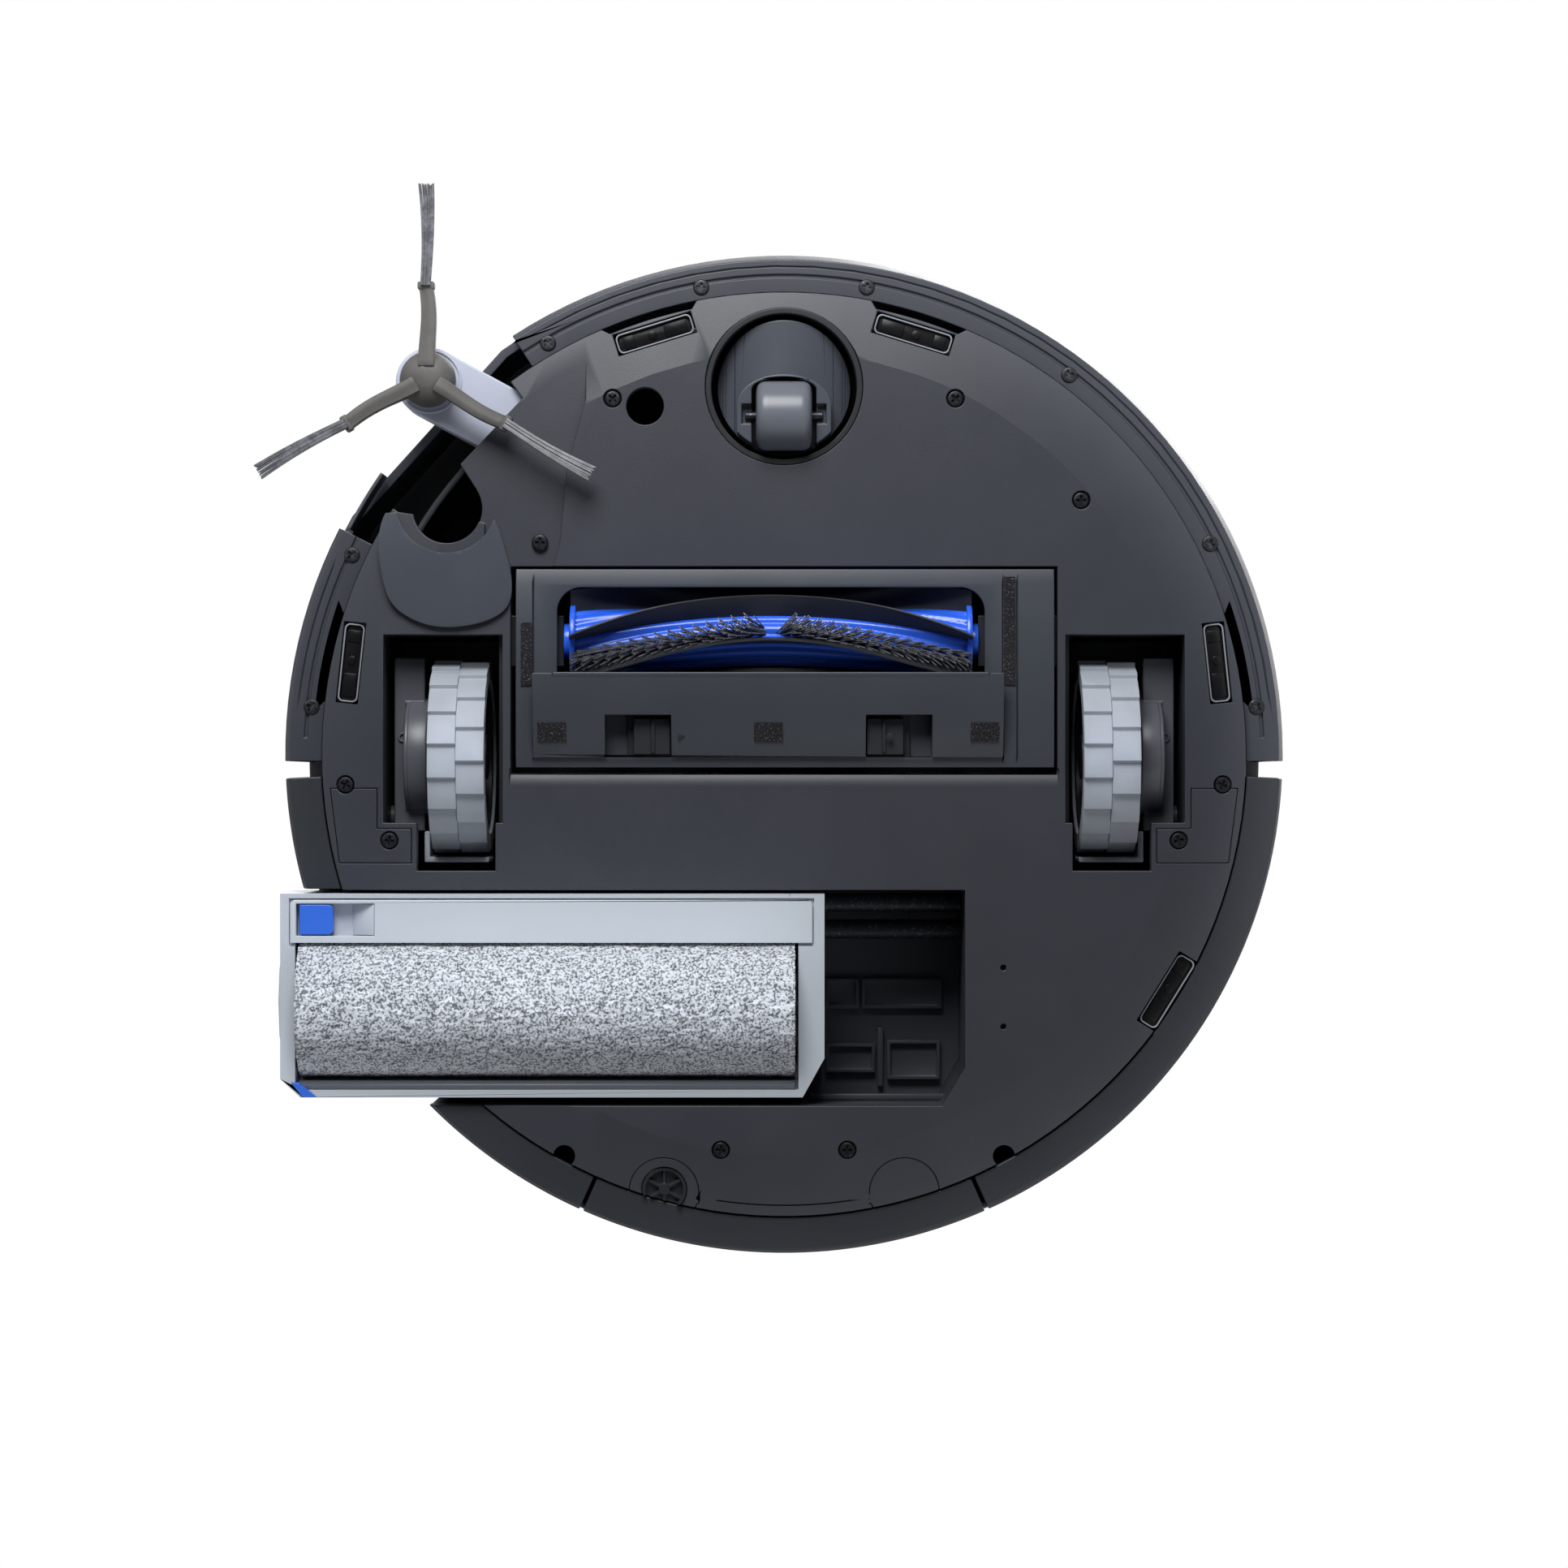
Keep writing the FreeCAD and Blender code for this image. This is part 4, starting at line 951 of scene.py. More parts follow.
# %% Shaft, blades and tufts
brush_low, brush_high = (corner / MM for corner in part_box("brush_core"))
blade_low, blade_high = (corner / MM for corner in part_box("brush_blades"))
SHAFT = Vector(((brush_low.x + brush_high.x) / 2, (blade_low.y + blade_high.y) / 2,
                (blade_low.z + blade_high.z) / 2))
HALF = (blade_high.x - blade_low.x) / 2
CORE_R = 11.4
TIP_R = 19.1


def around(x, radius, degrees):
    """A point at a radius from the shaft, counted from straight down towards +Y."""
    turn = math.radians(degrees)
    return (x, SHAFT.y + radius * math.sin(turn), SHAFT.z - radius * math.cos(turn))


def twist(x, soft):
    share = min(1.0, abs(x - SHAFT.x) / HALF)
    return 52 * (share ** 1.8 if soft else share)


def shaft():
    core = drum("brush_shaft", CORE_R, SHAFT, 2 * HALF - 0.2, "X", 144)
    cut_lengthwise(core, 56)

    def flute(spot):
        y, z = spot.y - SHAFT.y, spot.z - SHAFT.z
        turn = math.degrees(math.atan2(y, -z))
        radius = math.hypot(y, z)
        if radius > CORE_R - 0.1:
            wave = math.cos(math.radians((turn - twist(spot.x, True)) * 16))
            radius = CORE_R - 0.9 + 0.9 * (1 - (0.5 - 0.5 * wave) ** 2.2)
        return around(spot.x, radius, turn)

    reshape(core, flute)
    pieces = [smooth(core, 60)]
    for end, sign in ((SHAFT.x - HALF, -1), (SHAFT.x + HALF, 1)):
        cap = drum("end_cap", 13.6, (end - sign * 1.2, SHAFT.y, SHAFT.z), 2.0, "X", 96)
        pieces.append(round_over(cap, 0.4))
        boss = drum("boss", 6.2, (end + sign * 0.6, SHAFT.y, SHAFT.z), 3.0, "X", 48)
        pieces.append(round_over(boss, 0.3))
    pin_left, pin_right = brush_low.x, brush_high.x
    pieces.append(round_over(drum("pin", 3, ((pin_left + pin_right) / 2, SHAFT.y, SHAFT.z),
                                  pin_right - pin_left - 0.2, "X", 32), 0.3))
    return stand_for(join("fluted_shaft", *pieces), "brush_core")


def blade(start):
    fin = block("blade", (SHAFT.x - HALF + 0.4, -0.9, CORE_R - 1.2),
                (SHAFT.x + HALF - 0.4, 0.9, TIP_R))
    cut_lengthwise(fin, 60)
    pick(fin, lambda middle, way: abs(way.z) > 0.9, "EDGE")
    bpy.ops.mesh.subdivide(number_cuts=4)
    settle()

    def wrap(spot):
        share = (spot.z - CORE_R) / (TIP_R - CORE_R)
        thick = spot.y * (1.2 - 0.85 * share)
        return around(spot.x, spot.z, start + twist(spot.x, True)
                      + math.degrees(thick / spot.z))

    reshape(fin, wrap)
    return smooth(tidy_mesh(fin), 50)


def strand_bundle():
    """One tuft, upright at the origin: thin strands that spread a little."""
    dice = random.Random(7)
    strands = []
    for i in range(20):
        settle()
        bpy.ops.mesh.primitive_cone_add(vertices=5, radius1=0.34 * MM, radius2=0.20 * MM,
                                        depth=8.6 * MM, location=(0, 0, 4.3 * MM))
        strand = set_down(bpy.context.object, "strand")
        spread_x, spread_y = dice.uniform(-0.2, 0.2), dice.uniform(-0.2, 0.2)
        at = (dice.uniform(-1.9, 1.9), dice.uniform(-1.7, 1.7))
        reach = dice.uniform(0.88, 1.0)
        reshape(strand, lambda s: (s.x + at[0] + s.z * spread_x, s.y + at[1] + s.z * spread_y,
                                   s.z * reach))
        strands.append(strand)
    return join("tuft", *strands)


def tuft_row(start, model):
    tufts = []
    for side in (-1, 1):
        for number in range(15):
            x = SHAFT.x + side * (3.2 + number * (HALF - 6) / 14.5)
            lean = side * 0.72
            turn = start + twist(x, False)
            tuft = copy_of(model, "tuft")
            reshape(tuft, lambda s: around(
                min(SHAFT.x + HALF - 0.6, max(SHAFT.x - HALF + 0.6, x + s.x + s.z * lean)),
                min(CORE_R - 1 + s.z * 0.98, TIP_R - 0.1), turn + math.degrees(s.y / 14)))
            tufts.append(tuft)
    return join("tuft_row", *tufts)


print(shaft().name, "made")
BLADES = (-55, 0, 62, 122, 182, 242)
stand_for(join("blades", *[blade(turn) for turn in BLADES]), "brush_blades")
model = strand_bundle()
rows = join("tufts", *[tuft_row(turn, model) for turn in (-20, 92, 212)])
bpy.data.objects.remove(model)
stand_for(rows, "brush_bristles")
print("tufts have", len(rows.data.polygons), "faces")

# %% [markdown]
# ## The side brush
#
# A taupe rubber hub with a small flat on its dome carries three fingers. Each finger has a crease
# along one side and a collar at its end, where a bundle of nylon strands comes out and spreads.
# One finger and one bundle are made, and the other two are turned copies.

# %% Hub, fingers and strands
hub_low, hub_high = (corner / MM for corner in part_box("side_brush_motor"))
HUB = Vector(((hub_low.x + hub_high.x) / 2, (hub_low.y + hub_high.y) / 2, 0))
HUB_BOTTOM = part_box("side_brush_hub")[0].z / MM
FINGER_TURNS = (-90, 30, 150)


def finger():
    """A finger along +X from the hub's middle, thick at its root and bent a little."""
    bar = block("finger", (4, -2.6, HUB_BOTTOM + 0.3), (31.2, 2.6, HUB_BOTTOM + 5.4))
    cut_lengthwise(bar, 14)
    pick(bar, lambda middle, way: abs(way.y) > 0.9, "EDGE")
    bpy.ops.mesh.subdivide(number_cuts=3)
    settle()

    def bend(spot):
        share = (spot.x - 4) / 27.2
        half = 1.08 - 0.16 * share
        crown = 0.9 * (1 - (spot.y / 2.6) ** 2) if spot.z < HUB_BOTTOM + 1 else 0
        crease = 0.55 if abs(spot.y + 1.3) < 0.2 and spot.z < HUB_BOTTOM + 1 else 0
        return (spot.x, spot.y * half + 1.5 * math.sin(math.pi * share) * share,
                spot.z - crown * 0.5 + crease + 2.2 * max(0, 1 - 2.2 * share) * (spot.z > 5))

    reshape(bar, bend)
    round_over(bar, 0.35, 2, 50)
    collar = block("collar", (30.4, -2.9, HUB_BOTTOM - 0.1), (33.1, 2.9, HUB_BOTTOM + 5.0))
    round_over(collar, 0.6, 3)
    return join("finger", bar, collar)


def side_bundle():
    dice = random.Random(11)
    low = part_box("side_brush_bristles")[0].z / MM
    strands = []
    for i in range(32):
        settle()
        bpy.ops.mesh.primitive_cone_add(vertices=5, radius1=0.40 * MM, radius2=0.28 * MM,
                                        depth=35 * MM, location=(17.5 * MM, 0, 0),
                                        rotation=(0, math.pi / 2, 0))
        strand = set_down(bpy.context.object, "strand")
        cut_lengthwise(strand, 5)
        group = (i % 5 - 2) / 2
        side = group * 1.0 + dice.uniform(-0.25, 0.25)
        lift = dice.uniform(-0.9, 0.9)
        reach = dice.uniform(0.972, 1.0)

        def spread(s):
            share = max(0.0, s.x / 35)
            wide = 1.25 + 0.95 * share ** 1.5
            y = s.y + side * wide + 0.9 * math.sin(share * 2.6)
            z = s.z + 3.0 + lift * (1 - 0.4 * share) - 1.2 * share
            return (31.6 + s.x * reach, y, max(z, low + 0.02))

        strands.append(reshape(strand, spread))
    return join("bundle", *strands)


dome = ball("hub_dome", (9.7, 9.7, 8.6), (HUB.x, HUB.y, HUB_BOTTOM + 8.6), 64)
carve(dome, block("above", (HUB.x - 12, HUB.y - 12, HUB_BOTTOM + 9),
                  (HUB.x + 12, HUB.y + 12, HUB_BOTTOM + 30)))
flat = block("flat", (HUB.x - 9, HUB.y - 9, HUB_BOTTOM - 4), (HUB.x + 9, HUB.y + 9, HUB_BOTTOM + 0.42))
carve(dome, flat)
skirt_ring = drum("hub_side", 9.5, (HUB.x, HUB.y, HUB_BOTTOM + 10), 3.0, sides=64)
hub_parts = [round_over(dome, 0.12, 2, 20), round_over(skirt_ring, 0.3)]
one_finger, one_bundle = finger(), side_bundle()
bundles = []
for turn in FINGER_TURNS:
    hub_parts.append(copy_of(one_finger, "finger", HUB, turn))
    bundles.append(copy_of(one_bundle, "bundle", HUB, turn))
for done in (one_finger, one_bundle):
    bpy.data.objects.remove(done)
stand_for(join("rubber_hub", *hub_parts), "side_brush_hub")
stand_for(join("side_strands", *bundles), "side_brush_bristles")
collar = drum("arm_ring", 11.3, (HUB.x, HUB.y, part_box("arm_housing")[0].z / MM + 0.2), 1.6)
carve(collar, drum("ring_bore", 10.4, (HUB.x, HUB.y, 18), 20))
round_over(collar, 0.35, 3)
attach(collar, "brush_arm")
wear(collar, "arm_plastic")
print("side brush made")

# %% [markdown]
# ## The brush cover
#
# The cover is a thin frame that holds the main brush in its bay. Its window has two rounded
# corners at the front, its front and rear edges slope, a rounded panel guides dirt in, and thin
# seams mark the end caps. The window's corners are two blocks with a round taken out, joined to
# the frame before its edges are softened.

# %% The cover
cover_low, cover_high = (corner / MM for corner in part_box("brush_cover"))
FACE = cover_high.z - 2
window_left, window_right = cover_low.x + 14.4, cover_high.x - 24.2
window_front, lip_front = cover_low.y + 6.4, cover_low.y + 36


def panel_height(y):
    """How low the rounded panel reaches at each place from front to rear."""
    share = (y - lip_front) / (4 - lip_front)
    return 3.4 + 8.0 * share ** 1.75


cover = welded("brush_cover")
for x, sign in ((window_left, 1), (window_right, -1)):
    far = x + sign * 8.5
    corner = block("corner", (min(x - sign * 0.3, far), window_front - 0.3, FACE),
                   (max(x - sign * 0.3, far), window_front + 8.5, FACE + 2))
    carve(corner, drum("round", 8.5, (far, window_front + 8.5, FACE + 1), 6, sides=96))
    carve(cover, corner, operation="UNION")
carve(cover, side_outlined("panel", [(y, panel_height(y)) for y in range(-28, 4, 2)]
                           + [(3.2, FACE + 0.3), (3.2, FACE + 1.2), (lip_front + 9.3, FACE + 1.2),
                              (lip_front + 0.3, 5.4)],
                           cover_low.x + 6.1, cover_high.x - 17.8), operation="UNION")
for left in (cover_low.x + 31.2, cover_high.x - 65.5):
    carve(cover, block("pocket", (left, lip_front + 14.8, 0), (left + 22.9, lip_front + 29.1, 20)))
for edge, reach, rise in ((cover_low.y, 5.2, 1.3), (cover_high.y, -4.2, 1.4)):
    away = -1 if reach > 0 else 1
    carve(cover, side_outlined("slope", [(edge + away, FACE - 1), (edge + reach, FACE - 1),
                                         (edge + reach, FACE), (edge + away, FACE + rise)],
                               cover_low.x - 1, cover_high.x + 1))
for x in (cover_low.x + 6.1, cover_high.x - 17.8, cover_high.x - 12.9):
    carve(cover, block("seam", (x - 0.2, cover_low.y - 1, FACE - 1),
                       (x + 0.2, cover_high.y + 1, FACE + 0.8)))
merge_flat(cover)
soften(cover, 0.35)
stand_for(cover, "brush_cover")
print("the cover has", len(cover.data.polygons), "faces")

# %% [markdown]
# ## Latches, felt pads and velvet strips
#
# Two sliding latches with a raised thumb ridge hold the cover, each in its own shallow pocket
# beside a small arrow. The felt pads keep it from rattling, and the velvet strips at both ends
# stop hair from getting in. Their pile is real relief: the face is divided and each point is
# pushed in or out a little.

# %% Latches, pads and strips
def pile_pad(low, high, cuts, seed):
    pad = block("pad", low, high)
    cut_lengthwise(pad, cuts[0], 0)
    cut_lengthwise(pad, cuts[1], 1)
    dice = random.Random(seed)
    return reshape(pad, lambda s: (s.x, s.y, s.z + dice.uniform(-0.05, 0.3)
                                   if s.z < high.z - 0.1 else s.z))


for node, cuts in (("felt_pads", (22, 15)), ("velvet_strips", (8, 64))):
    pads = [pile_pad(low, high, cuts, 5 + i)
            for i, (low, high, spots) in enumerate(loose_parts(node))]
    print(len(pads), "pieces of pile for", node)
    if node == "felt_pads":
        for pad in pads:
            reshape(pad, lambda s: (s.x, s.y, s.z - FACE + panel_height(s.y)))
    stand_for(smooth(join(node + "_pile", *pads), 30), node)

for side, pocket_left in (("left", cover_low.x + 31.2), ("right", cover_high.x - 65.5)):
    low, high = (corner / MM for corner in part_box("latch_" + side))
    middle = (low.x + high.x) / 2
    knob = soften(welded("latch_" + side), 0.45, 3)
    ridge = block("ridge", (middle - 0.9, low.y + 1.6, low.z - 0.6),
                  (middle + 0.9, high.y - 1.6, low.z + 1.2))
    round_over(ridge, 0.6, 3)
    stand_for(join("latch_knob_" + side, knob, ridge), "latch_" + side)
    floor = block("pocket_floor_" + side, (pocket_left - 0.6, low.y - 0.2, high.z + 0.1),
                  (pocket_left + 23.5, high.y + 0.2, high.z + 0.8))
    pick(floor, lambda centre, normal: normal.z < -0.9)
    bpy.ops.mesh.inset(thickness=1.2 * MM)
    settle()
    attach(round_over(floor, 0.2), "brush_frame")
    wear(floor, "cover_plastic")
    sign = 1 if side == "left" else -1
    tip = (cover_low.x + cover_high.x) / 2 - sign * 34.6
    arrow = outlined("arrow_" + side, [(tip, -6.2), (tip - sign * 2.4, -7.5),
                                       (tip - sign * 2.4, -4.9)], panel_height(-6.2) - 0.25, panel_height(-6.2) + 0.6)
    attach(round_over(arrow, 0.06), "brush_frame")
    wear(arrow, "latch_plastic")
print("latches made")

# %% [markdown]
# ## The mop module's housing
#
# The pale housing carries the roller on two ends and slides out of the machine's side on a pair
# of rods. The cover panel lies in a recess with a dark seam around it, the outer end has a bowed
# cap, and a grey wiper lip runs along the roller. The recess is made a little wider in the
# softened copy, so that the seam is a true gap.

# %% Housing and end cap
mop_low, mop_high = (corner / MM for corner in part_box("mop_housing"))
panel_low, panel_high = (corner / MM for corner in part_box("mop_cover"))
roller_low, roller_high = (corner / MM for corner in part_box("mop_fabric"))
housing = welded("mop_housing")
carve(housing, block("recess", (panel_low.x - 0.55, panel_low.y - 0.55, panel_low.z - 2),
                     (panel_high.x + 0.55, panel_high.y + 0.55, panel_high.z)))
for x in (mop_low.x + 33, mop_high.x - 12):
    carve(housing, block("seam", (x - 0.15, mop_low.y - 1, mop_low.z - 1),
                         (x + 0.15, mop_low.y + 1.4, mop_low.z + 0.5)))
merge_flat(housing)
soften(housing, 0.3, clamp=True)
stand_for(housing, "mop_housing")
bow = [(3.8, 68), (0.6, 68.4), (-0.5, 75), (-0.9, 86), (-0.5, 98), (0.9, 108), (3.8, 112.6)]
cap = outlined("end_cap_bowed", [(mop_low.x + x, y) for x, y in bow], 14.4, 46)
round_over(cap, 0.9, 4, 50, 60)
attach(cap, "mop_module")
wear(cap, "mop_plastic")
lip = side_outlined("wiper_lip", [(113.6, 17.5), (113.6, 15.4), (115.2, 14.2), (116.9, 14.6),
                                  (116.9, 17.5)], roller_low.x, roller_high.x)
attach(round_over(lip, 0.3), "mop_module")
wear(lip, "tank_plastic")
print("housing has", len(housing.data.polygons), "faces")

# %% [markdown]
# ## Cover panel, release button and thumb ramp
#
# The panel's corners are rounded in plan and the button's two inner corners too. Beside the
# button the pocket's floor rises in a short ramp, which starts where the pressed button stops. The corners are rounded with the bevel
# operator on the upright edges alone.

# %% Panel, ramp and button
def round_corners(piece, width, test=lambda middle: True):
    pick(piece, lambda middle, way: abs(way.z) > 0.98 and test(middle), "EDGE")
    bpy.ops.mesh.bevel(offset=width * MM, segments=6, affect="EDGES")
    settle()
    return piece


panel = welded("mop_cover")
round_corners(panel, 1.7, lambda middle: middle.x < panel_low.x + 0.1
              or middle.x > panel_high.x - 0.1)
stand_for(soften(panel, 0.3), "mop_cover")
button_low, button_high = (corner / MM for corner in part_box("mop_button"))
button = round_corners(welded("mop_button"), 1.9, lambda middle: middle.x > button_high.x - 0.1)
stand_for(soften(button, 0.4, 3), "mop_button")
ramp_end = panel_low.x + 29.1
ramp_start = button_high.x + 6.4
ramp = block("thumb_ramp", (ramp_start, button_low.y - 0.1, 12),
             (ramp_end, button_high.y + 0.2, 17.4))
reshape(ramp, lambda s: (s.x, s.y, 12.5 + 4.6 * (ramp_end - s.x) / (ramp_end - ramp_start)
                         if s.z < 14 else s.z))
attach(round_over(ramp, 0.15), "mop_module")
wear(ramp, "mop_cover_plastic")
print("panel and button made")

# %% [markdown]
# ## The roller
#
# The roller is a sleeve of looped microfibre. A drum is divided into a fine grid and every point
# of its skin is pulled in by its own amount, so that the loops stand up as small lumps and the
# outline is soft too. The finish reads the same depth: pale on top, with painted shade between
# the loops.

# %% Roller with its pile
ROUND, LONG, PILE = 200, 236, 0.7
middle = (roller_low + roller_high) / 2
radius = (roller_high.z - roller_low.z) / 2
sleeve = drum("pile_sleeve", radius, middle, roller_high.x - roller_low.x, "X", ROUND)
cut_lengthwise(sleeve, LONG)
dice = random.Random(21)


def loop(spot):
    y, z = spot.y - middle.y, spot.z - middle.z
    share = 1 - PILE * dice.random() ** 1.4 / radius
    return (spot.x + dice.uniform(-0.2, 0.2), middle.y + y * share, middle.z + z * share)


reshape(sleeve, loop)
stand_for(smooth(sleeve, 90), "mop_fabric")
core = soften(welded("mop_core"), 0.4)
stand_for(core, "mop_core")
print("the sleeve has", len(sleeve.data.polygons), "faces")

# %% [markdown]
# ## Inside the mop bay
#
# With the module pulled out, the bay's ceiling shows two framed slots and two pockets between
# ribs, which stiffen the tray and let water drain. They are low blocks with their middles pressed
# in, set on the ceiling above the height that the module sweeps through.

# %% The bay's ribs and pockets
bay_low, bay_high = (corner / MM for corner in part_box("mop_bay_liner"))
stand_for(dress(soften(welded("mop_bay_liner"), 0.4), "bay_plastic", slot_of["mop_bay_liner"]),
          "mop_bay_liner")
dress(bpy.data.objects["mop_bay_liner_moulding"], "bay_plastic", slot_of["mop_bay_liner"])
CEILING = bay_high.z - 2.5


def pocket(name, left, right, front, rear, wall=1.2, deep=2.6):
    tray = block(name, (left, front, CEILING - 3.2), (right, rear, CEILING - 0.02))
    pick(tray, lambda centre, normal: normal.z < -0.9)
    bpy.ops.mesh.inset(thickness=wall * MM)
    bpy.ops.mesh.extrude_region_move(TRANSFORM_OT_translate={"value": (0, 0, deep * MM)})
    settle()
    return round_over(tray, 0.2)


ribs = [pocket("slot_short", 15, 27, 80.3, 91.1), pocket("slot_long", 28, 56.7, 80.3, 91.1),
        pocket("pocket_left", 15, 32.7, 103.7, 114), pocket("pocket_right", 37, 56, 102.5, 116.5),
        pocket("rod_tray", 15, 46, 48.5, 63, 0.9),
        round_over(block("rib", (33.6, 98, CEILING - 3.2), (35.6, 119, CEILING - 0.02)), 0.3),
        round_over(block("ledge", (9, 119.8, 34), (bay_high.x - 9, bay_high.y - 3, 37)), 0.4)]
ribs = join("bay_ribs", *ribs)
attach(ribs, "chassis")
dress(ribs, "bay_plastic", slot_of["mop_bay_liner"])
stand_for(soften(welded("mop_guide_rods"), 0.4), "mop_guide_rods")
print("bay ribs have", len(ribs.data.polygons), "faces")

# %% [markdown]
# ## The bumper
#
# The bumper wraps around the front half and slides on its own springs. Its lower flange has a
# dark groove, a fine line near the rim and a crescent slot at each side, where the base plate's
# rim shows. A thin grey rib closes the edge of the side brush's opening.

# %% Bumper
bumper = welded("bumper_shell")
for start, end in ((-18.7, -5.6), (185.6, 198.7)):
    carve(bumper, rim_slot(start, end, 161.6, 164.2, 18, 22.5))
for start, end in ((240, 354), (186, 203)):
    carve(bumper, rim_slot(start, end, 170.3, 170.65, 18, 19.8))
soften(bumper, 0.4, angle=20)
stand_for(bumper, "bumper_shell")
rib = outlined("opening_rib", arc(172.6, 207.4, 215) + arc(171.4, 215, 207.4), 25, 39)
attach(round_over(rib, 0.35), "bumper")
wear(rib, "drive_plastic")
print("the bumper has", len(bumper.data.polygons), "faces")

# %% [markdown]
# ## Cliff sensors
#
# Six downward-looking sensors stop the machine at the top of a stair. Each has a clear frame
# with rounded corners in a dark socket, and behind it two grey tabs with a black eye between
# them. The frame's brightness is painted: an opaque pale grey stands in for the glints on its
# clear plastic. One sensor is made lying along X, and a copy goes to each place in the frame,
# turned the way that its window lies.

# %% Sensors
def sensor_frame():
    frame_ring = round_corners(block("ring", (-13.7, -3.5, 0), (13.7, 3.5, 1.3)), 1.9)
    carve(frame_ring, round_corners(block("hole", (-13.15, -2.95, -1), (13.15, 2.95, 3)), 1.5))
    return round_over(frame_ring, 0.22, 3)


def sensor_back():
    base = round_corners(block("socket", (-13.4, -3.3, 1.9), (13.4, 3.3, 2.5)), 1.5)
    tabs = [block("tab", (-11.6, -2.2, 1.2), (-3.6, 2.2, 2.2)),
            block("tab", (7.4, -2.2, 1.2), (11.4, 2.2, 2.2)),
            drum("eye", 1.5, (1.0, 0, 1.7), 1.4, sides=32)]
    return join("back", round_over(base, 0.2), *[round_over(tab, 0.25) for tab in tabs])


def long_way(spots):
    first = spots[0]
    for spot in spots:
        way = spot - first
        if abs(way.z) < 0.9 and 26.5 < way.length < 28.5:
            return math.degrees(math.atan2(way.y, way.x))
    return 0


ring_model, back_model = sensor_frame(), sensor_back()
rings, backs = [], []
for low, high, spots in loose_parts("cliff_windows"):
    spot = (low + high) / 2
    turn = long_way(spots)
    rings.append(copy_of(ring_model, "ring", (spot.x, spot.y, low.z + 0.1), turn))
    backs.append(copy_of(back_model, "back", (spot.x, spot.y, low.z), turn))
for done in (ring_model, back_model):
    bpy.data.objects.remove(done)
rings = join("sensor_frames", *rings)
stand_for(rings, "cliff_windows")
# Painted highlight: the frames wear pale grey in place of the glints on clear plastic.
dress(rings, "window_frame", slot_of["cliff_windows"])
backs = join("sensor_backs", *backs)
stand_for(backs, "cliff_holders")
print("sensors made")

# %% [markdown]
# ## Wheel rims, motors and the rest inside
#
# The last nodes are plain turned or moulded parts that show only in places. A small radius on
# each edge is all they need to catch the light like the others.

# %% The last mouldings
for name, radius in {"wheel_rim_left": 0.4, "wheel_rim_right": 0.4, "side_brush_motor": 0.3,
                     "arm_motor": 0.5, "caster_axle": 0.3, "main_board": 0.3,
                     "suction_tunnel": 0.5}.items():
    stand_for(soften(welded(name), radius), name)
print("softened the rest")

# %% [markdown]
# ## The stage, the light and the camera
#
# The machine stands on a pale floor, and the camera looks straight up at it from below. A solid
# floor would hide the machine, so this floor has only one face: it is pale from above and clear
# from below, as a sheet of studio glass would be. A large soft lamp towards the front gives the
# long gradients on the underside, a weaker one fills the rear, and two more light the top.

# %% Floor, lamps and camera
def studio_floor():
    settle()
    bpy.ops.mesh.primitive_plane_add(size=30, location=(0, 0, 0))
    floor = set_down(bpy.context.object, "studio_floor")
    finish = Finish("studio_floor", Roughness=0.7)
    wash = finish.noise(3, 2)
    finish.give("Base Color", finish.mix(wash * 0.3, colour("f4f4f4"), colour("ffffff")))
    clear = finish.add("ShaderNodeBsdfTransparent")
    behind = finish.add("ShaderNodeNewGeometry", output="Backfacing")
    mixed = finish.add("ShaderNodeMixShader", None, {0: behind, 2: clear})
    finish.tree.links.new(finish.shader.outputs[0], mixed.socket.node.inputs[1])
    finish.feed(finish.tree.nodes["Material Output"].inputs["Surface"], mixed)
    floor.data.materials.append(finish.material)
    floor.visible_shadow = False
    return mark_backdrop(floor)


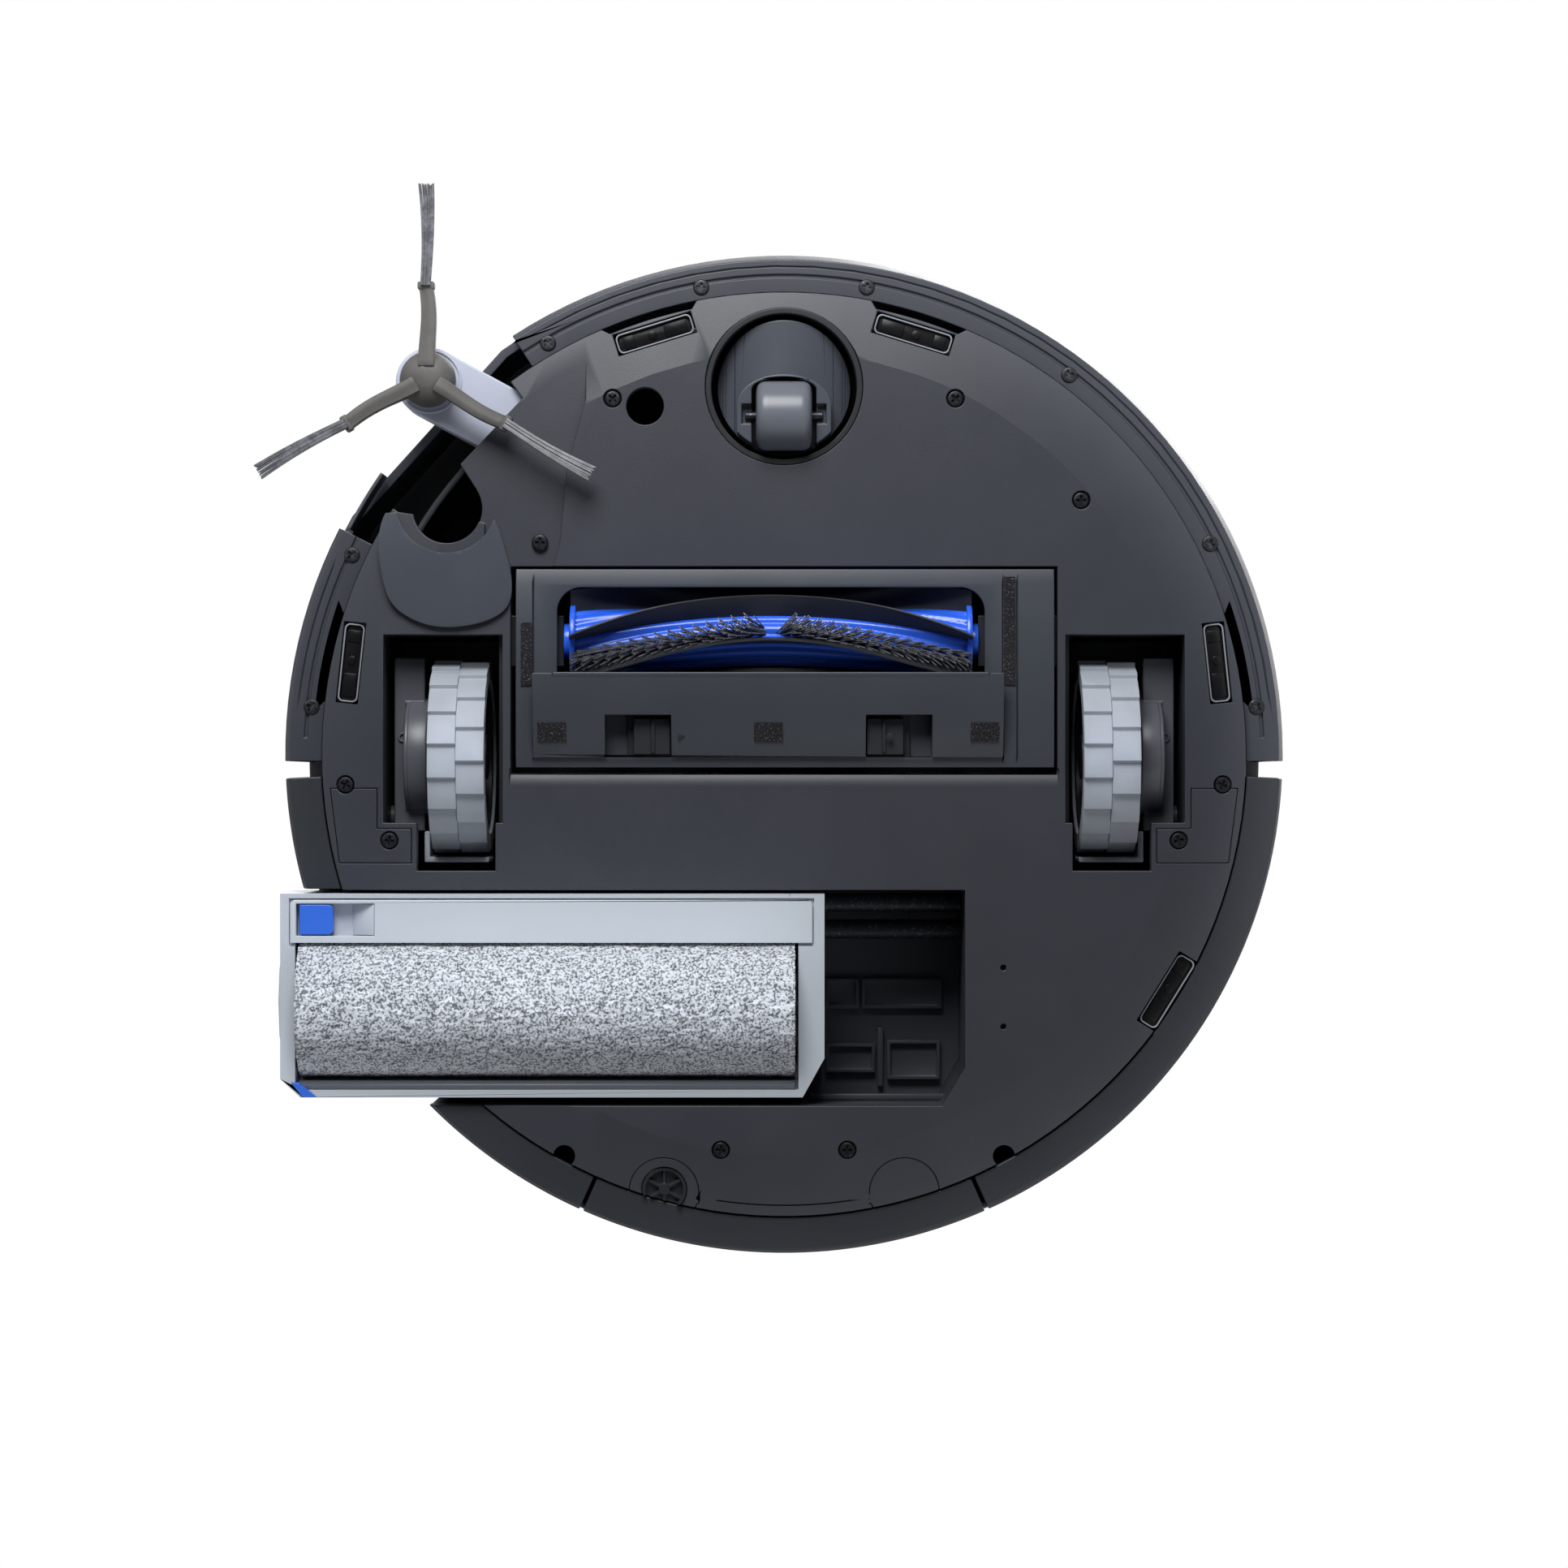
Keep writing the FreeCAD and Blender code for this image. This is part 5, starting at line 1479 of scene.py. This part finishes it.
def lamp(name, place, aim, size, power):
    settle()
    way = Vector(aim) - Vector(place)
    bpy.ops.object.light_add(type="AREA", location=place,
                             rotation=way.to_track_quat("-Z", "Y").to_euler())
    light = bpy.context.object
    light.name = name
    light.data.shape = "DISK"
    light.data.size = size
    light.data.energy = power
    return light


def overhead(name, power):
    """An even, soft light from straight above, which keeps the floor pale to its edge."""
    settle()
    bpy.ops.object.light_add(type="SUN", location=(0, 0, 3), rotation=(0.25, 0.2, 0))
    sun = bpy.context.object
    sun.name = name
    sun.data.energy = power
    sun.data.angle = math.radians(50)
    return sun


def pale_world(glow):
    world = bpy.data.worlds.new("studio")
    bpy.context.scene.world = world
    world.use_nodes = True
    tree = world.node_tree
    tree.nodes.clear()
    path = tree.nodes.new("ShaderNodeLightPath")
    seen = tree.nodes.new("ShaderNodeBackground")
    seen.inputs["Strength"].default_value = 1.0
    seen.inputs["Color"].default_value = (1, 1, 1, 1)
    given = tree.nodes.new("ShaderNodeBackground")
    given.inputs["Color"].default_value = (0.93, 0.96, 1, 1)
    given.inputs["Strength"].default_value = glow
    both = tree.nodes.new("ShaderNodeMixShader")
    out = tree.nodes.new("ShaderNodeOutputWorld")
    tree.links.new(path.outputs["Is Camera Ray"], both.inputs[0])
    tree.links.new(given.outputs[0], both.inputs[1])
    tree.links.new(seen.outputs[0], both.inputs[2])
    tree.links.new(both.outputs[0], out.inputs["Surface"])


studio_floor()
pale_world(0.26)
lamp("key_from_the_front", (-0.12, -0.66, -0.55), (0, -0.06, 0.02), 0.5, 9.5)
lamp("fill_from_the_rear", (0.5, 0.9, -0.9), (0, 0, 0.03), 1.2, 5.0)
lamp("top_front", (0.6, -0.9, 1.2), (0, 0, 0.05), 1.0, 8)
overhead("top_even", 1.6)
bpy.ops.object.camera_add(location=(0, 0.0104, -1.35), rotation=(math.pi, 0, 0))
camera = bpy.context.object
camera.data.lens = 90
camera.data.sensor_width = 36
camera.data.clip_end = 20
bpy.context.scene.camera = camera
bpy.context.scene.view_settings.view_transform = "Standard"
print("camera", [round(c, 3) for c in camera.location], camera.data.lens, "mm")
